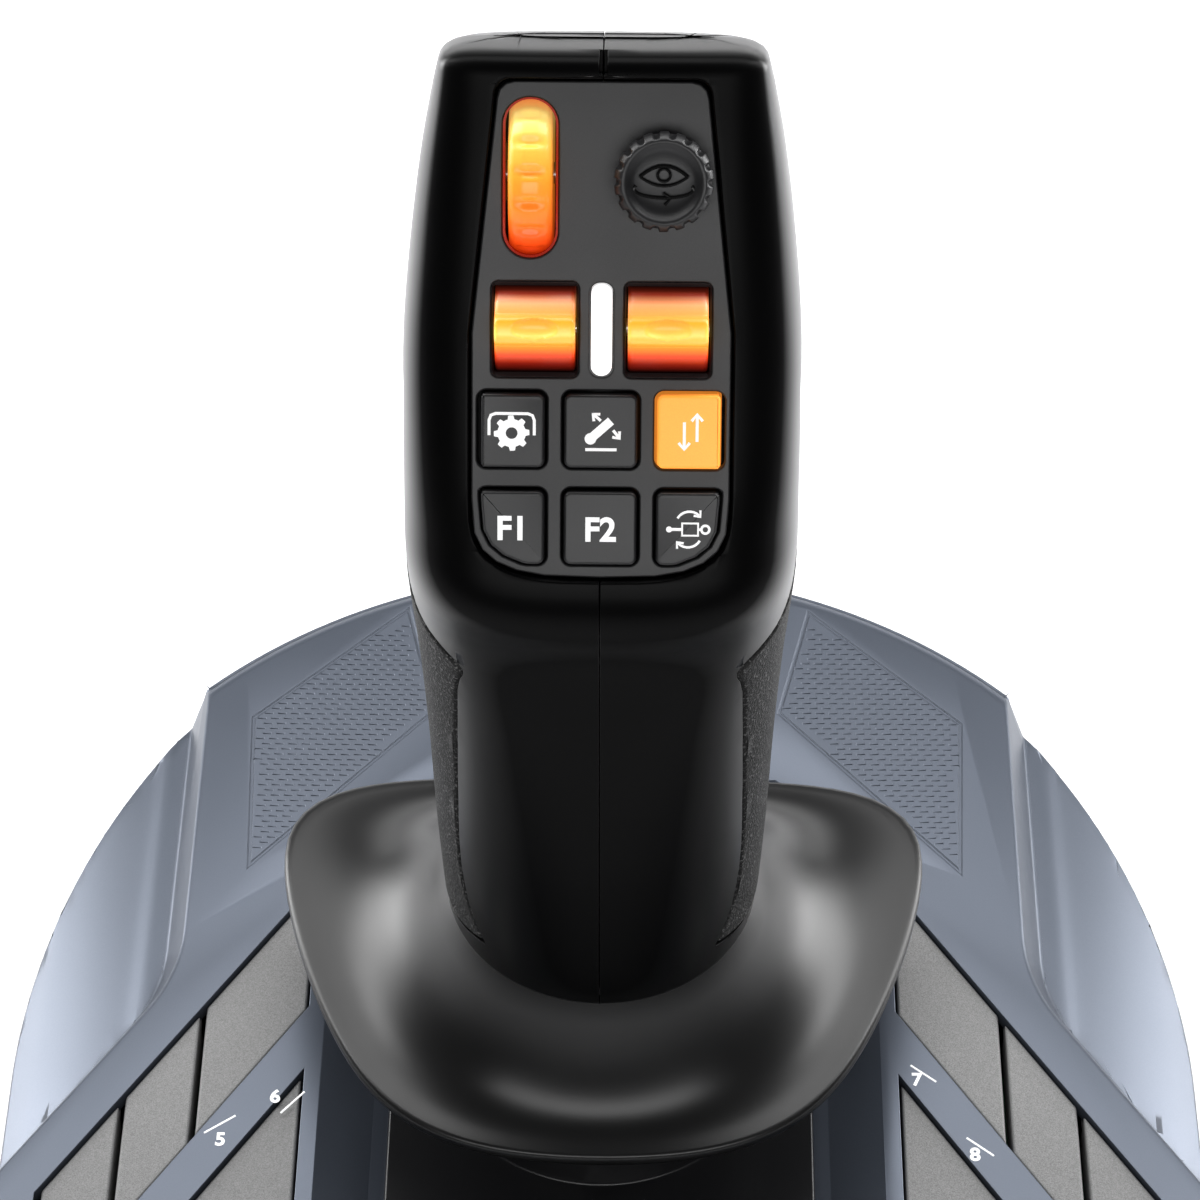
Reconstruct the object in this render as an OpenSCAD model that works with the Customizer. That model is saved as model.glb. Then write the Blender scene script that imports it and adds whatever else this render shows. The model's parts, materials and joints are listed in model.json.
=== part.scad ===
// Desk flight joystick for driving machinery in a simulator.
// Origin: centre of the base's footprint, on the surface that it stands on. +Z up, the user sits at -Y.

/* [Base] */
// Radius of the base's round rear half, and half of its width
base_r = 100; // [95:1:120]
// Radius of the base's two front corners
front_corner_r = 62; // [50:1:80]
// Height of the deck's top face
deck_z = 46; // [46:0.5:52]
// Height of the joint between the lower and upper shell
part_line_z = 20; // [17:0.5:24]
// Wall thickness of both base shells
base_wall = 3; // [2.5:0.1:4]
// Gap between the two base shells
part_gap = 0.4; // [0.2:0.1:0.8]
// Half width of the raised plateau behind the keys
plateau_half_w = 70; // [64:1:72]
// Width of the sloping band around the deck
band_w = 3.5; // [3:0.5:6]
// Height of the sloping band
band_h = 8; // [6:0.5:10]
// Angle of the key rows from the X axis
row_angle = 57; // [50:1:62]
// Half width of the base shell's sunken channel at its floor
channel_half_w = 37; // [35:1:40]
// Depth of the channel below the deck
channel_d = 6; // [4:0.5:7]
// Width of the channel's sloping sides
channel_slope_w = 9; // [6:0.5:10]
// Radius of a rubber foot
foot_r = 9; // [7:0.5:12]
// How far the feet stand below the lower shell
foot_h = 2; // [1.5:0.5:3]

/* [Base keys] */
// Inner edge of the key rows
key_inner_x = 48.6; // [48:0.2:50]
// Width of the inner key
key_w_first = 16.9; // [15:0.1:18]
// Width of the other keys
key_w_next = 11.7; // [10:0.1:12]
// Length of a key along Y
key_len = 25.5; // [22:0.5:27]
// Gap between neighbouring keys
key_gap = 1.0; // [0.6:0.1:1.4]
// Y of the upper row's rear inner corner
row_y = 26; // [22:0.5:30]
// Strip between the two rows, along Y
row_strip = 13.5; // [10:0.5:16]
// Travel of a base key
base_key_travel = 1.2; // [0.8:0.1:1.5]

/* [Stick] */
// Y of the stick's axis
stick_y = -3.7; // [-6:0.1:0]
// Depth of the gimbal's pivot below the deck's top face
pivot_drop = 16; // [14:0.5:17]
// Height above the deck of the seam where the handle turns on the skirt
seam_rise = 40; // [38:0.5:50]
// Outer radius of the dust dome
dome_r = 26; // [25:0.5:27]
// Wall of the dust dome
dome_wall = 2; // [1.5:0.1:2.5]
// Radius of the stem tube
stem_r = 9; // [8:0.5:10]
// Wall of the stem tube
stem_wall = 2.5; // [2:0.1:3]
// Radius of the gimbal pins
gimbal_pin_r = 2.2; // [1.8:0.1:2.4]
// Radial clearance of every running pin
run_gap = 0.05; // [0.02:0.01:0.08]

/* [Skirt] */
// Height of the skirt's rim above the deck
rim_rise = 21; // [20.5:0.5:26]
// Rim distances from the stick's axis: rear, flank, front flank, front shoulder, front
rim_reach = [36.2, 59.2, 46.3, 66.8, 40]; // [30:0.1:72]
// Thickness of the skirt
skirt_t = 2.2; // [1.8:0.1:3]

/* [Handle] */
// Wall thickness of the handle's halves
grip_wall = 2.4; // [2:0.1:3]
// Radius of the handle's round foot
grip_foot_r = 24; // [23:0.5:26]
// Half width of the handle's head
head_half_w = 28; // [27.5:0.5:31]
// Height of the control panel's lower end above the seam
panel_foot_rise = 83.3; // [80:0.1:94]
// Y of the control panel's lower end
panel_foot_y = -16; // [-18:0.5:-14]
// Tilt of the panel's face from the horizontal
panel_tilt = 53; // [48:1:58]
// Thickness of a grip pad
pad_t = 1.4; // [1:0.1:1.8]

/* [Panel] */
// Length of the control panel
panel_len = 68.3; // [68:0.1:72]
// Half width of the panel at its top
panel_top_half_w = 14.4; // [14:0.1:15]
// Half width of the panel at its widest
panel_half_w = 17.8; // [17.6:0.1:19]
// Thickness of the panel
panel_t = 2.2; // [1.8:0.1:2.6]
// Spacing of the panel keys across
panel_pitch = 12.2; // [12:0.1:12.6]
// Travel of a panel key
panel_key_travel = 0.9; // [0.6:0.1:1]
// Radius of the long thumb wheel
wheel_r = 12.2; // [11:0.1:13]
// Width of the long thumb wheel
wheel_w = 6; // [5:0.1:6.4]
// Radius of a roller's drum
roller_r = 6.4; // [5.8:0.1:6.6]
// Width of a roller
roller_w = 11; // [9:0.1:11.2]
// Radius of the camera knob
knob_r = 6.7; // [6:0.1:7]

/* [Fits] */
// Gap between a key and its window
key_fit = 0.35; // [0.3:0.05:0.5]
// Gap between a cover and its pocket
cover_fit = 0.15; // [0.1:0.05:0.3]

/* [Hidden] */
$fn = 64;
eps = 0.01;
shell_floor = 3;
pivot_z = deck_z - pivot_drop;
seam_z = deck_z + seam_rise;
rim_z = deck_z + rim_rise;
panel_foot_z = seam_z + panel_foot_rise;
bottom_z = foot_h;
floor_z = bottom_z + shell_floor;
channel_z = deck_z - channel_d;
front_c = base_r - front_corner_r;
row_slope = tan(row_angle);
row_len_x = key_w_first + 2 * key_w_next;
key_xs = [key_inner_x, key_inner_x + key_w_first, key_inner_x + key_w_first + key_w_next];
key_ws = [key_w_first, key_w_next, key_w_next];
key_top_z = deck_z - 0.8;
key_low_z = deck_z - base_wall - 5;
key_lip_z = deck_z - base_wall - 0.1;
switch_top_z = key_low_z - base_key_travel - 0.2;
board_t = 1.6;
board_z = switch_top_z - 3 - board_t;
lower_row_y = row_y - key_len - row_strip;
collar_in_r = 22;
collar_out_r = 27;
collar_z = pivot_z + 18.5;
ring_out_r = 21;
ring_in_r = 16.5;
ring_h = 8;
yoke_r = 13;
yoke_h = 10;
post_x = dome_r + 2.5;
post_w = 7;
stem_top_z = seam_z + 44;
skirt_seat_z = seam_z - 4;
hub_z = seam_z + 0.4;
hub_r = stem_r + 4;
hub_top_z = hub_z + 30;
clip_z = hub_top_z + 0.3;
clip_t = 1.2;
clip_depth = 0.8;
panel_z = -panel_t;
low_row_t = 7.2;
high_row_t = 20.7;
roller_t = 34.5;
roller_x = 9.1;
wheel_t = 55.2;
wheel_x = -9.8;
wheel_axis_z = -8.2;
roller_axis_z = -3.6;
knob_x = 8.3;
knob_t = 55.1;
knob_pivot_z = -6.2;
axle_r = 1.25;
wheel_axle_r = 1.5;
frame_z = -16;
frame_t = 2;
trigger_pin_y = 24.6;
trigger_pin_z = seam_z + 81;
trigger_pin_r = 1.5;
trigger_w = 10;
flank_screw_y = 9.8;
flank_screw_z = seam_z + 94.7;
grip_screws = [[12.5, seam_z + 14], [2, seam_z + 50], [8, seam_z + 65]];
grip_screw_seat = 11;
// the flank screw in the panel's frame
flank_t = (flank_screw_y - panel_foot_y) * cos(panel_tilt) + (flank_screw_z - panel_foot_z) * sin(panel_tilt);
flank_h = (flank_screw_z - panel_foot_z) * cos(panel_tilt) - (flank_screw_y - panel_foot_y) * sin(panel_tilt);
base_screw_r = 88;
// base screws: angle, and the top of the boss that takes the screw
shoulder_boss_z = deck_z - band_h - 1.6;
deck_boss_z = deck_z - 2;
channel_boss_z = channel_z - 1;
base_screw_places = [[35, shoulder_boss_z], [75, deck_boss_z], [105, deck_boss_z], [145, shoulder_boss_z],
  [245, channel_boss_z], [295, channel_boss_z]];
base_screw_bore = 1.3;
foot_places = [[-56, 46], [56, 46], [-62, -58], [62, -58], [0, 80]];

// ---- helpers ----
function spow(v, e) = sign(v) * pow(abs(v), e);

// Closed skin over a stack of rings that run anticlockwise seen from the stack's end
module loft(rings) {
  n = len(rings[0]);
  m = len(rings);
  sides = [for (i = [0:m - 2], j = [0:n - 1]) let (a = i * n + j, b = i * n + (j + 1) % n)
    each [[a, a + n, b + n], [a, b + n, b]]];
  polyhedron([for (r = rings) each r],
    concat([[for (j = [0:n - 1]) j]], sides, [[for (j = [n - 1:-1:0]) (m - 1) * n + j]]), convexity = 6);
}

// Closed skin over rings whose last one joins the first
module loft_loop(rings) {
  n = len(rings[0]);
  m = len(rings);
  polyhedron([for (r = rings) each r],
    [for (i = [0:m - 1], j = [0:n - 1])
      let (k = (i + 1) % m, a = i * n + j, b = i * n + (j + 1) % n, c = k * n + (j + 1) % n, d = k * n + j)
      each [[a, c, d], [a, b, c]]], convexity = 6);
}

// Places children in the control panel's frame: X across, Y up the panel, Z out of it
module on_panel() translate([0, panel_foot_y, panel_foot_z]) rotate([panel_tilt, 0, 0]) children();

module along_x(x0, x1, r) translate([x0, 0, 0]) rotate([0, 90, 0]) cylinder(r = r, h = x1 - x0);

module round_rect(w, h, r) {
  square([w - 2 * r, h], center = true);
  square([w, h - 2 * r], center = true);
  for (sx = [-1, 1], sy = [-1, 1]) translate([sx * (w / 2 - r), sy * (h / 2 - r)]) circle(r);
}

// Outline of the base, drawn in by d
module base_outline(d = 0) {
  r = base_r - d;
  c = front_corner_r - d;
  intersection() {
    circle(r, $fn = 128);
    translate([-r, 0]) square([2 * r, r]);
  }
  for (s = [-1, 1]) translate([s * front_c, -front_c]) circle(c, $fn = 96);
  translate([-r, -front_c]) square([2 * r, front_c + eps]);
  translate([-front_c, -r]) square([2 * front_c, r]);
}

// Outline of the deck at its top, and at the foot of its sloping band when d is the band's width
function deck_points(d) = let (w = plateau_half_w + d, y0 = 7, x1 = base_r + 4,
    y1 = y0 - (x1 - plateau_half_w) * row_slope)
  [[-w, 120], [-w, y0 + d * 0.5], [-x1 - d, y1], [-x1 - d, -120], [x1 + d, -120], [x1 + d, y1],
   [w, y0 + d * 0.5], [w, 120]];

// Body of the base from a profile of points [how far in from the edge, height], drawn in by d on every side
module base_body(profile, d = 0) {
  low = profile[0][1] - d;
  high = profile[len(profile) - 1][1] - d;
  function side(r) = [for (p = profile) [r - p[0] - d, p[1] - d]];
  rotate_extrude(angle = 180, $fn = 128) polygon(concat([[0, low]], side(base_r), [[0, high]]));
  for (s = [0, 1]) translate([(s == 0 ? 1 : -1) * front_c, -front_c, 0]) rotate(270 - 90 * s)
    rotate_extrude(angle = 90, $fn = 96) polygon(concat([[0, low]], side(front_corner_r), [[0, high]]));
  // straight stretches between the arcs
  rotate([90, 0, 0]) linear_extrude(front_c) both_sides()
    polygon(concat([[0, low]], side(base_r), [[0, high]]));
  translate([-front_c, -front_c, 0]) rotate([90, 0, 90]) linear_extrude(2 * front_c) mirror([1, 0])
    polygon(concat([[0, low]], side(front_corner_r), [[0, high]]));
}

module deck_block(d) {
  low = part_line_z - 5;
  foot = band_w * (deck_z - d - low) / band_h;
  loft([[for (p = deck_points(foot - d)) [p[0], p[1], low]],
    [for (p = deck_points(-d)) [p[0], p[1], deck_z - d]]]);
}

// Parallelogram of a key row, from x to x + w on the right-hand side, grown by g
module key_shape(x, w, y, len_y, g = 0) {
  dy0 = -(x - g - key_inner_x) * row_slope;
  dy1 = -(x + w + g - key_inner_x) * row_slope;
  polygon([[x - g, y + dy0 + g], [x - g, y + dy0 - len_y - g], [x + w + g, y + dy1 - len_y - g],
    [x + w + g, y + dy1 + g]]);
}

module key_row(upper, g = 0) intersection() {
  key_shape(key_inner_x, upper ? row_len_x : key_w_first + key_w_next, upper ? row_y : lower_row_y,
    key_len, g);
  base_outline(9 - g);
}

module both_sides() {
  children();
  mirror([1, 0, 0]) children();
}

// ---- base ----
// Profile of the shoulder across the base: x, and the drop below the deck
shoulder = [[74, band_h], [80, band_h + 2], [87.5, band_h + 5.2], [94, band_h + 8.8], [99, band_h + 12.4],
  [base_r + 4, band_h + 16.4]];
// Profile of the upper shell's wall and rounded rim
rim = [[0.6, part_line_z + part_gap], [0.6, deck_z - 3], [1.1, deck_z - 1.3], [2.2, deck_z - 0.3],
  [3.6, deck_z]];
// Profile of the lower shell
lower = [[9, bottom_z], [4.6, bottom_z + 1], [1.8, bottom_z + 4], [0.6, bottom_z + 9], [0, part_line_z]];

module shoulder_block(d) {
  low = part_line_z - 5;
  x1 = base_r + 4;
  rotate([90, 0, 0]) linear_extrude(2 * x1, center = true) polygon(concat([[x1, low]],
    [for (i = [len(shoulder) - 1:-1:0]) [shoulder[i][0], deck_z - shoulder[i][1] - d]],
    [for (p = shoulder) [-p[0], deck_z - p[1] - d]], [[-x1, low]]));
}

module top_solid(d) intersection() {
  union() {
    deck_block(d);
    shoulder_block(d);
  }
  base_body(rim, d);
}

module channel_cut() {
  // sloping sides
  loft([for (k = [0, 1])
    let (w = channel_half_w + k * channel_slope_w, z = channel_z + k * (channel_d + 1) * 0.86)
    [for (p = [[-w, 30 + 6 * k], [-w, -70 - 8 * k], [-w + 16, -86 - 4 * k], [w - 16, -86 - 4 * k],
      [w, -70 - 8 * k], [w, 30 + 6 * k], [w - 16, 44 + 6 * k], [-w + 16, 44 + 6 * k]]) [p[0], p[1], z]]]);
}

module channel_floor(d) polygon([[-channel_half_w + d, 30], [-channel_half_w + d, -70],
  [-channel_half_w + 16, -86 + d], [channel_half_w - 16, -86 + d], [channel_half_w - d, -70],
  [channel_half_w - d, 30], [channel_half_w - 16, 44 - d], [-channel_half_w + 16, 44 - d]]);

module base_screw_spots() for (p = base_screw_places) rotate(p[0]) translate([base_screw_r, 0, 0]) children();

module base_top_shell() color([0.50, 0.53, 0.60]) difference() {
  union() {
    difference() {
      top_solid(0);
      top_solid(base_wall);
    }
    // walls and floor of the sunken channel
    translate([0, 0, channel_z - base_wall]) linear_extrude(channel_d + base_wall - 1)
      polygon([[-47, 46], [-47, -84], [-30, -93], [30, -93], [47, -84], [47, 46], [30, 52], [-30, 52]]);
    for (p = base_screw_places) rotate(p[0]) translate([base_screw_r, 0, part_line_z + part_gap])
      cylinder(r = 4, h = p[1] - part_line_z - part_gap);
  }
  channel_cut();
  // opening for the console panel's collar
  translate([0, stick_y, 0]) cylinder(r = collar_out_r + 3, h = deck_z + 5);
  // throttle slot
  translate([0, -58, channel_z]) cube([26, 44, 20], center = true);
  both_sides() {
    translate([0, 0, deck_z - base_wall - 1]) linear_extrude(9) {
      key_row(true, key_fit);
      key_row(false, key_fit);
    }
  }
  base_screw_spots() translate([0, 0, part_line_z]) cylinder(r = base_screw_bore, h = 9);
  inlet_window();
}

module inlet_window() translate([0, base_r - 4, 19]) cube([9.4, 20, 6.4], center = true);

module base_bottom_shell() color([0.62, 0.64, 0.70]) difference() {
  union() {
    difference() {
      base_body(lower);
      base_body([[5.4, floor_z], [3.2, bottom_z + 6], [2.4, bottom_z + 9], [2, part_line_z + 1]],
        base_wall - 2);
    }
    base_screw_spots() translate([0, 0, bottom_z + 1]) cylinder(r = 5, h = part_line_z - 0.2 - bottom_z - 1);
  }
  base_screw_spots() {
    cylinder(r = 1.8, h = 40);
    cylinder(r = 3.3, h = part_line_z - 6);
  }
  for (p = foot_places) translate([p[0], p[1], 0]) cylinder(r = foot_r, h = bottom_z + 1);
  inlet_window();
}

module rubber_feet() color([0.1, 0.1, 0.1])
  for (p = foot_places) translate([p[0], p[1], 0]) rotate_extrude()
    polygon([[0, 0], [foot_r - 1.5, 0], [foot_r, 1], [foot_r, bottom_z + 1], [0, bottom_z + 1]]);

module base_screws() color([0.6, 0.6, 0.62])
  base_screw_spots() translate([0, 0, part_line_z - 6]) difference() {
    union() {
      translate([0, 0, -2]) cylinder(r = 2.8, h = 2);
      cylinder(r = base_screw_bore, h = 13);
    }
    for (q = [0, 90]) translate([0, 0, -2]) rotate(q) cube([3, 0.7, 1.6], center = true);
  }

module ballast_plate() color([0.45, 0.45, 0.47]) difference() {
  translate([0, -62, floor_z]) linear_extrude(3) round_rect(58, 44, 6);
  for (s = [-1, 1]) translate([s * 24, -62, 0]) cylinder(r = 1.8, h = 20);
}

module main_board() color([0.05, 0.3, 0.15]) {
  translate([0, 62, floor_z + 3]) linear_extrude(board_t) round_rect(76, 34, 2);
  for (s = [-1, 1], y = [50, 74]) translate([s * 34, y, floor_z]) cylinder(r = 2.5, h = 3);
  translate([-8, 60, floor_z + 3 + board_t]) cube([12, 12, 1.4]);
  translate([-30, 68, floor_z + 3 + board_t]) cube([14, 5, 6]);
}

module key_boards() color([0.05, 0.3, 0.15]) both_sides() {
  translate([0, 0, board_z]) linear_extrude(board_t) {
    key_shape(key_inner_x + 1, row_len_x - 5, row_y - 2, key_len - 4);
    intersection() {
      key_shape(key_inner_x + 1, key_w_first + key_w_next - 5, lower_row_y - 2, key_len - 4);
      base_outline(14);
    }
    translate([key_inner_x + 1, lower_row_y - 22]) square([7, row_y - lower_row_y + 10]);
  }
  for (i = [0:4]) let (c = key_centre(i)) translate([c[0], c[1], board_z + board_t])
    linear_extrude(switch_top_z - board_z - board_t) square(5, center = true);
  // legs down to the lower shell
  for (y = [row_y - 12, lower_row_y - 14]) translate([key_inner_x + 4.5, y, floor_z])
    cylinder(r = 2.5, h = board_z - floor_z);
}

module usb_inlet() color([0.7, 0.7, 0.72]) translate([0, base_r - 4, 19]) rotate([90, 0, 0])
  translate([0, 0, -3.6]) difference() {
    linear_extrude(9) round_rect(9, 3.4, 1.6);
    translate([0, 0, -eps]) linear_extrude(7) difference() {
      round_rect(8.3, 2.6, 1.25);
      square([6.2, 0.7], center = true);
    }
  }

module console_panel() color([0.09, 0.09, 0.1]) difference() {
  union() {
    translate([0, 0, channel_z]) linear_extrude(1.6) channel_floor(2.6);
    translate([0, stick_y, channel_z - 2]) cylinder(r = collar_out_r + 2.5, h = 2 + eps);
    translate([0, stick_y, channel_z]) cylinder(r = collar_out_r, h = collar_z - channel_z, $fn = 96);
  }
  translate([0, stick_y, channel_z - 3])
    cylinder(r = collar_out_r - 1.6, h = collar_z - channel_z + 0.6, $fn = 96);
  translate([0, stick_y, channel_z]) cylinder(r = collar_in_r, h = 40, $fn = 96);
  translate([0, -58, channel_z - 1]) linear_extrude(9) round_rect(6, 38, 2.9);
}

module throttle_slider() color([0.2, 0.2, 0.21]) translate([0, -58, channel_z + 1.6]) {
  translate([0, 0, 0.3]) linear_extrude(1.4) round_rect(14, 12, 3);
  for (k = [-2:2]) translate([0, k * 2, 1.7]) linear_extrude(abs(k) * 0.7 + 1.6)
    square([13, 1.5], center = true);
  translate([0, 0, 1.7]) linear_extrude(1.2) square([12, 10], center = true);
  translate([0, 0, -6]) linear_extrude(6.4) square([4.5, 5], center = true);
}

module throttle_pot() color([0.5, 0.5, 0.5]) translate([0, -58, channel_z - 10]) difference() {
  linear_extrude(10) round_rect(12, 42, 1);
  translate([0, 0, 4.4]) linear_extrude(9) square([5.3, 38], center = true);
}

// Centre of key i: 0 to 2 in the upper row, 3 and 4 in the lower
function key_centre(i) = let (c = i % 3, x = key_xs[c] + key_ws[c] / 2, y = i < 3 ? row_y : lower_row_y)
  [x, y - (x - key_inner_x) * row_slope - key_len / 2];

module base_key(i) {
  c = i % 3;
  x = key_xs[c] + (c == 0 ? 0 : key_gap / 2);
  w = key_ws[c] - (c == 0 ? key_gap / 2 : key_gap);
  y = i < 3 ? row_y : lower_row_y;
  color([0.36, 0.37, 0.39]) {
    translate([0, 0, key_low_z]) linear_extrude(key_top_z - key_low_z) intersection() {
      key_shape(x, w, y, key_len);
      base_outline(9);
    }
    // lip that stops the key under the deck
    translate([0, 0, key_lip_z - 1.6]) linear_extrude(1.6) intersection() {
      key_shape(x, w, y + 1.6, key_len + 3.2);
      base_outline(13);
    }
  }
}

module base_key_side(side, i) if (side > 0) base_key(i); else mirror([1, 0, 0]) base_key(i);

// ---- gimbal ----
module gimbal_cradle() color([0.25, 0.25, 0.27]) translate([0, stick_y, 0]) difference() {
  union() {
    translate([0, 0, floor_z]) linear_extrude(3) round_rect(82, 60, 8);
    for (s = [-1, 1]) {
      translate([s * (post_x + post_w / 2), 0, floor_z]) linear_extrude(pivot_z - floor_z)
        square([post_w, 14], center = true);
      translate([s > 0 ? post_x : -post_x - post_w, 0, pivot_z]) along_x(0, post_w, 7);
    }
    translate([0, 0, floor_z]) cylinder(r = 13, h = 4.5);
  }
  for (s = [-1, 1]) translate([s > 0 ? post_x - 1 : -post_x - post_w - 1, 0, pivot_z])
    along_x(0, post_w + 2, gimbal_pin_r + run_gap);
  translate([0, 0, floor_z + 3]) cylinder(r = 8, h = 5);
  for (sx = [-1, 1], sy = [-1, 1]) translate([sx * 34, sy * 24, 0]) cylinder(r = 1.8, h = 30);
}

module gimbal_ring() color([0.55, 0.56, 0.58]) translate([0, stick_y, pivot_z]) difference() {
  translate([0, 0, -ring_h / 2]) cylinder(r = ring_out_r, h = ring_h);
  translate([0, 0, -ring_h]) cylinder(r = ring_in_r, h = 2 * ring_h);
  along_x(-ring_out_r - 1, ring_out_r + 1, gimbal_pin_r);
  rotate(90) along_x(-ring_out_r - 1, ring_out_r + 1, gimbal_pin_r + run_gap);
}

module pitch_pins() color([0.75, 0.75, 0.77]) translate([0, stick_y, pivot_z])
  for (s = [0, 180]) rotate(s) along_x(ring_in_r + 0.8, post_x + post_w - 0.5, gimbal_pin_r);

module gimbal_yoke() color([0.2, 0.2, 0.22]) translate([0, stick_y, pivot_z]) difference() {
  union() {
    translate([0, 0, -yoke_h / 2]) cylinder(r = yoke_r, h = yoke_h);
    cylinder(r = stem_r + 3, h = 15);
  }
  translate([0, 0, 6]) cylinder(r = stem_r, h = 20);
  translate([0, 0, -yoke_h / 2 - 1]) cylinder(r = 3, h = 4);
  rotate(90) along_x(-yoke_r - 1, yoke_r + 1, gimbal_pin_r);
}

module roll_pins() color([0.75, 0.75, 0.77]) translate([0, stick_y, pivot_z])
  for (s = [90, 270]) rotate(s) along_x(4, ring_out_r - 0.6, gimbal_pin_r);

// Coil of round wire about the stick's axis, wider at its foot
module centering_spring() color([0.7, 0.7, 0.72]) {
  wire = 0.9;
  turns = 5;
  per_turn = 18;
  steps = turns * per_turn;
  z0 = floor_z + 4.5 + wire;
  z1 = pivot_z - yoke_h / 2 - wire;
  rings = [for (i = [steps:-1:0]) let (t = i / steps, a = 360 * turns * t, r = 10.8, z = z0 + (z1 - z0) * t)
    [for (j = [0:7]) [(r + wire * cos(45 * j)) * cos(a), stick_y + (r + wire * cos(45 * j)) * sin(a),
      z + wire * sin(45 * j)]]];
  loft(rings);
}

module stick_magnet() color([0.8, 0.8, 0.8]) translate([0, stick_y, pivot_z - yoke_h / 2 - 1])
  cylinder(r = 3, h = 4);

module sensor_board() color([0.05, 0.3, 0.15]) translate([0, stick_y, floor_z + 3]) {
  cylinder(r = 7.6, h = board_t);
  translate([-2.5, -2.5, board_t]) cube([5, 5, 1.2]);
}

module dust_dome() color([0.07, 0.07, 0.08]) translate([0, stick_y, pivot_z]) difference() {
  sphere(r = dome_r, $fn = 128);
  sphere(r = dome_r - dome_wall, $fn = 128);
  translate([0, 0, -2 * dome_r + dome_r * cos(70)]) cylinder(r = 2 * dome_r, h = 2 * dome_r);
  cylinder(r = stem_r, h = 2 * dome_r);
}

module stem_tube() color([0.6, 0.61, 0.63]) translate([0, stick_y, 0]) difference() {
  union() {
    translate([0, 0, pivot_z + 6]) cylinder(r = stem_r, h = stem_top_z - pivot_z - 6);
    translate([0, 0, skirt_seat_z - 3]) cylinder(r = 18, h = 3);
  }
  translate([0, -stick_y, 0]) skirt_screw_places() translate([0, 0, -1]) cylinder(r = 1.2, h = 5);
  translate([0, 0, pivot_z]) cylinder(r = stem_r - stem_wall, h = 300);
  translate([0, 0, clip_z - 0.1]) difference() {
    cylinder(r = stem_r + 1, h = clip_t + 0.2);
    translate([0, 0, -1]) cylinder(r = stem_r - clip_depth, h = clip_t + 3);
  }
}

module stem_clip() color([0.75, 0.75, 0.77]) translate([0, stick_y, clip_z]) difference() {
  cylinder(r = stem_r + 2, h = clip_t);
  translate([0, 0, -1]) cylinder(r = stem_r - clip_depth, h = clip_t + 2);
  translate([0, -stem_r - 3, -1]) translate([-3.5, 0, 0]) cube([7, 6, clip_t + 2]);
}

// Distance from the stick's axis to the skirt's rim in direction t
function rim_term(t, a, d) = pow(max(0, cos(t - a)) / d, 5);
function rim_r(t) = pow(rim_term(t, 90, rim_reach[0]) + rim_term(t, 8, rim_reach[1])
  + rim_term(t, 172, rim_reach[1]) + rim_term(t, -28, rim_reach[2]) + rim_term(t, 208, rim_reach[2])
  + rim_term(t, -62, rim_reach[3]) + rim_term(t, 242, rim_reach[3]) + rim_term(t, 270, rim_reach[4]), -1 / 5);

// Ring of the skirt: w is the share of the way out to the rim
function skirt_ring(w, z, inset) = [for (j = [0:59])
  let (t = 6 * j, r = grip_foot_r + (rim_r(t) - grip_foot_r) * w - inset)
    [r * cos(t), stick_y + r * sin(t), z]];

module skirt() color([0.07, 0.07, 0.08]) {
  top = seam_z - 0.3;
  drop = top - rim_z;
  steps = [0, 0.06, 0.14, 0.24, 0.36, 0.5, 0.66, 0.82, 0.94];
  face = [for (w = steps) skirt_ring(w, rim_z + drop * pow(1 - w, 2.6) + 0.2, 0)];
  edge = [skirt_ring(0.985, rim_z - 0.3, 0), skirt_ring(1, rim_z - 1.2, 0),
    skirt_ring(0.985, rim_z - skirt_t, 0)];
  under = [for (i = [len(steps) - 1:-1:1]) let (w = steps[i])
    skirt_ring(w, rim_z + drop * pow(1 - w, 2.6) - skirt_t, w < 0.3 ? skirt_t * 0.7 : 0.3)];
  difference() {
    union() {
      loft_loop(concat([skirt_ring(0, skirt_seat_z, skirt_t), skirt_ring(0, top, skirt_t)],
        face, edge, under));
      translate([0, stick_y, skirt_seat_z]) difference() {
        cylinder(r = grip_foot_r - 1, h = 2.4);
        translate([0, 0, -1]) cylinder(r = stem_r, h = 6);
      }
    }
    skirt_screw_places() cylinder(r = 1.2, h = 5);
  }
}

module skirt_screw_places() for (a = [0, 120, 240]) translate([0, stick_y, 0]) rotate(a)
  translate([14, 0, skirt_seat_z - 3]) children();

module skirt_screws() color([0.6, 0.6, 0.62]) skirt_screw_places() {
  translate([0, 0, -1.6]) cylinder(r = 2.4, h = 1.6);
  cylinder(r = 1.2, h = 5);
}

module twist_hub() color([0.2, 0.2, 0.22]) translate([0, stick_y, 0]) difference() {
  union() {
    translate([0, 0, hub_z]) cylinder(r = hub_r, h = hub_top_z - hub_z);
    translate([0, 0, hub_z + 3.6]) cylinder(r = 19, h = 3);
  }
  translate([0, 0, hub_z - 1]) cylinder(r = stem_r + run_gap, h = 60);
}

// ---- handle ----
// A point on the panel's centre line: t up the panel, h out of its face
function on_face(t, h) = [panel_foot_y + t * cos(panel_tilt) - h * sin(panel_tilt),
  panel_foot_z + t * sin(panel_tilt) + h * cos(panel_tilt)];

// Section of the handle: front point, back point, half width, front and back roundness
function head_section(t, back, w, nf, nb, h = 1.2) = [on_face(t, h), back, w, nf, nb];
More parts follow.
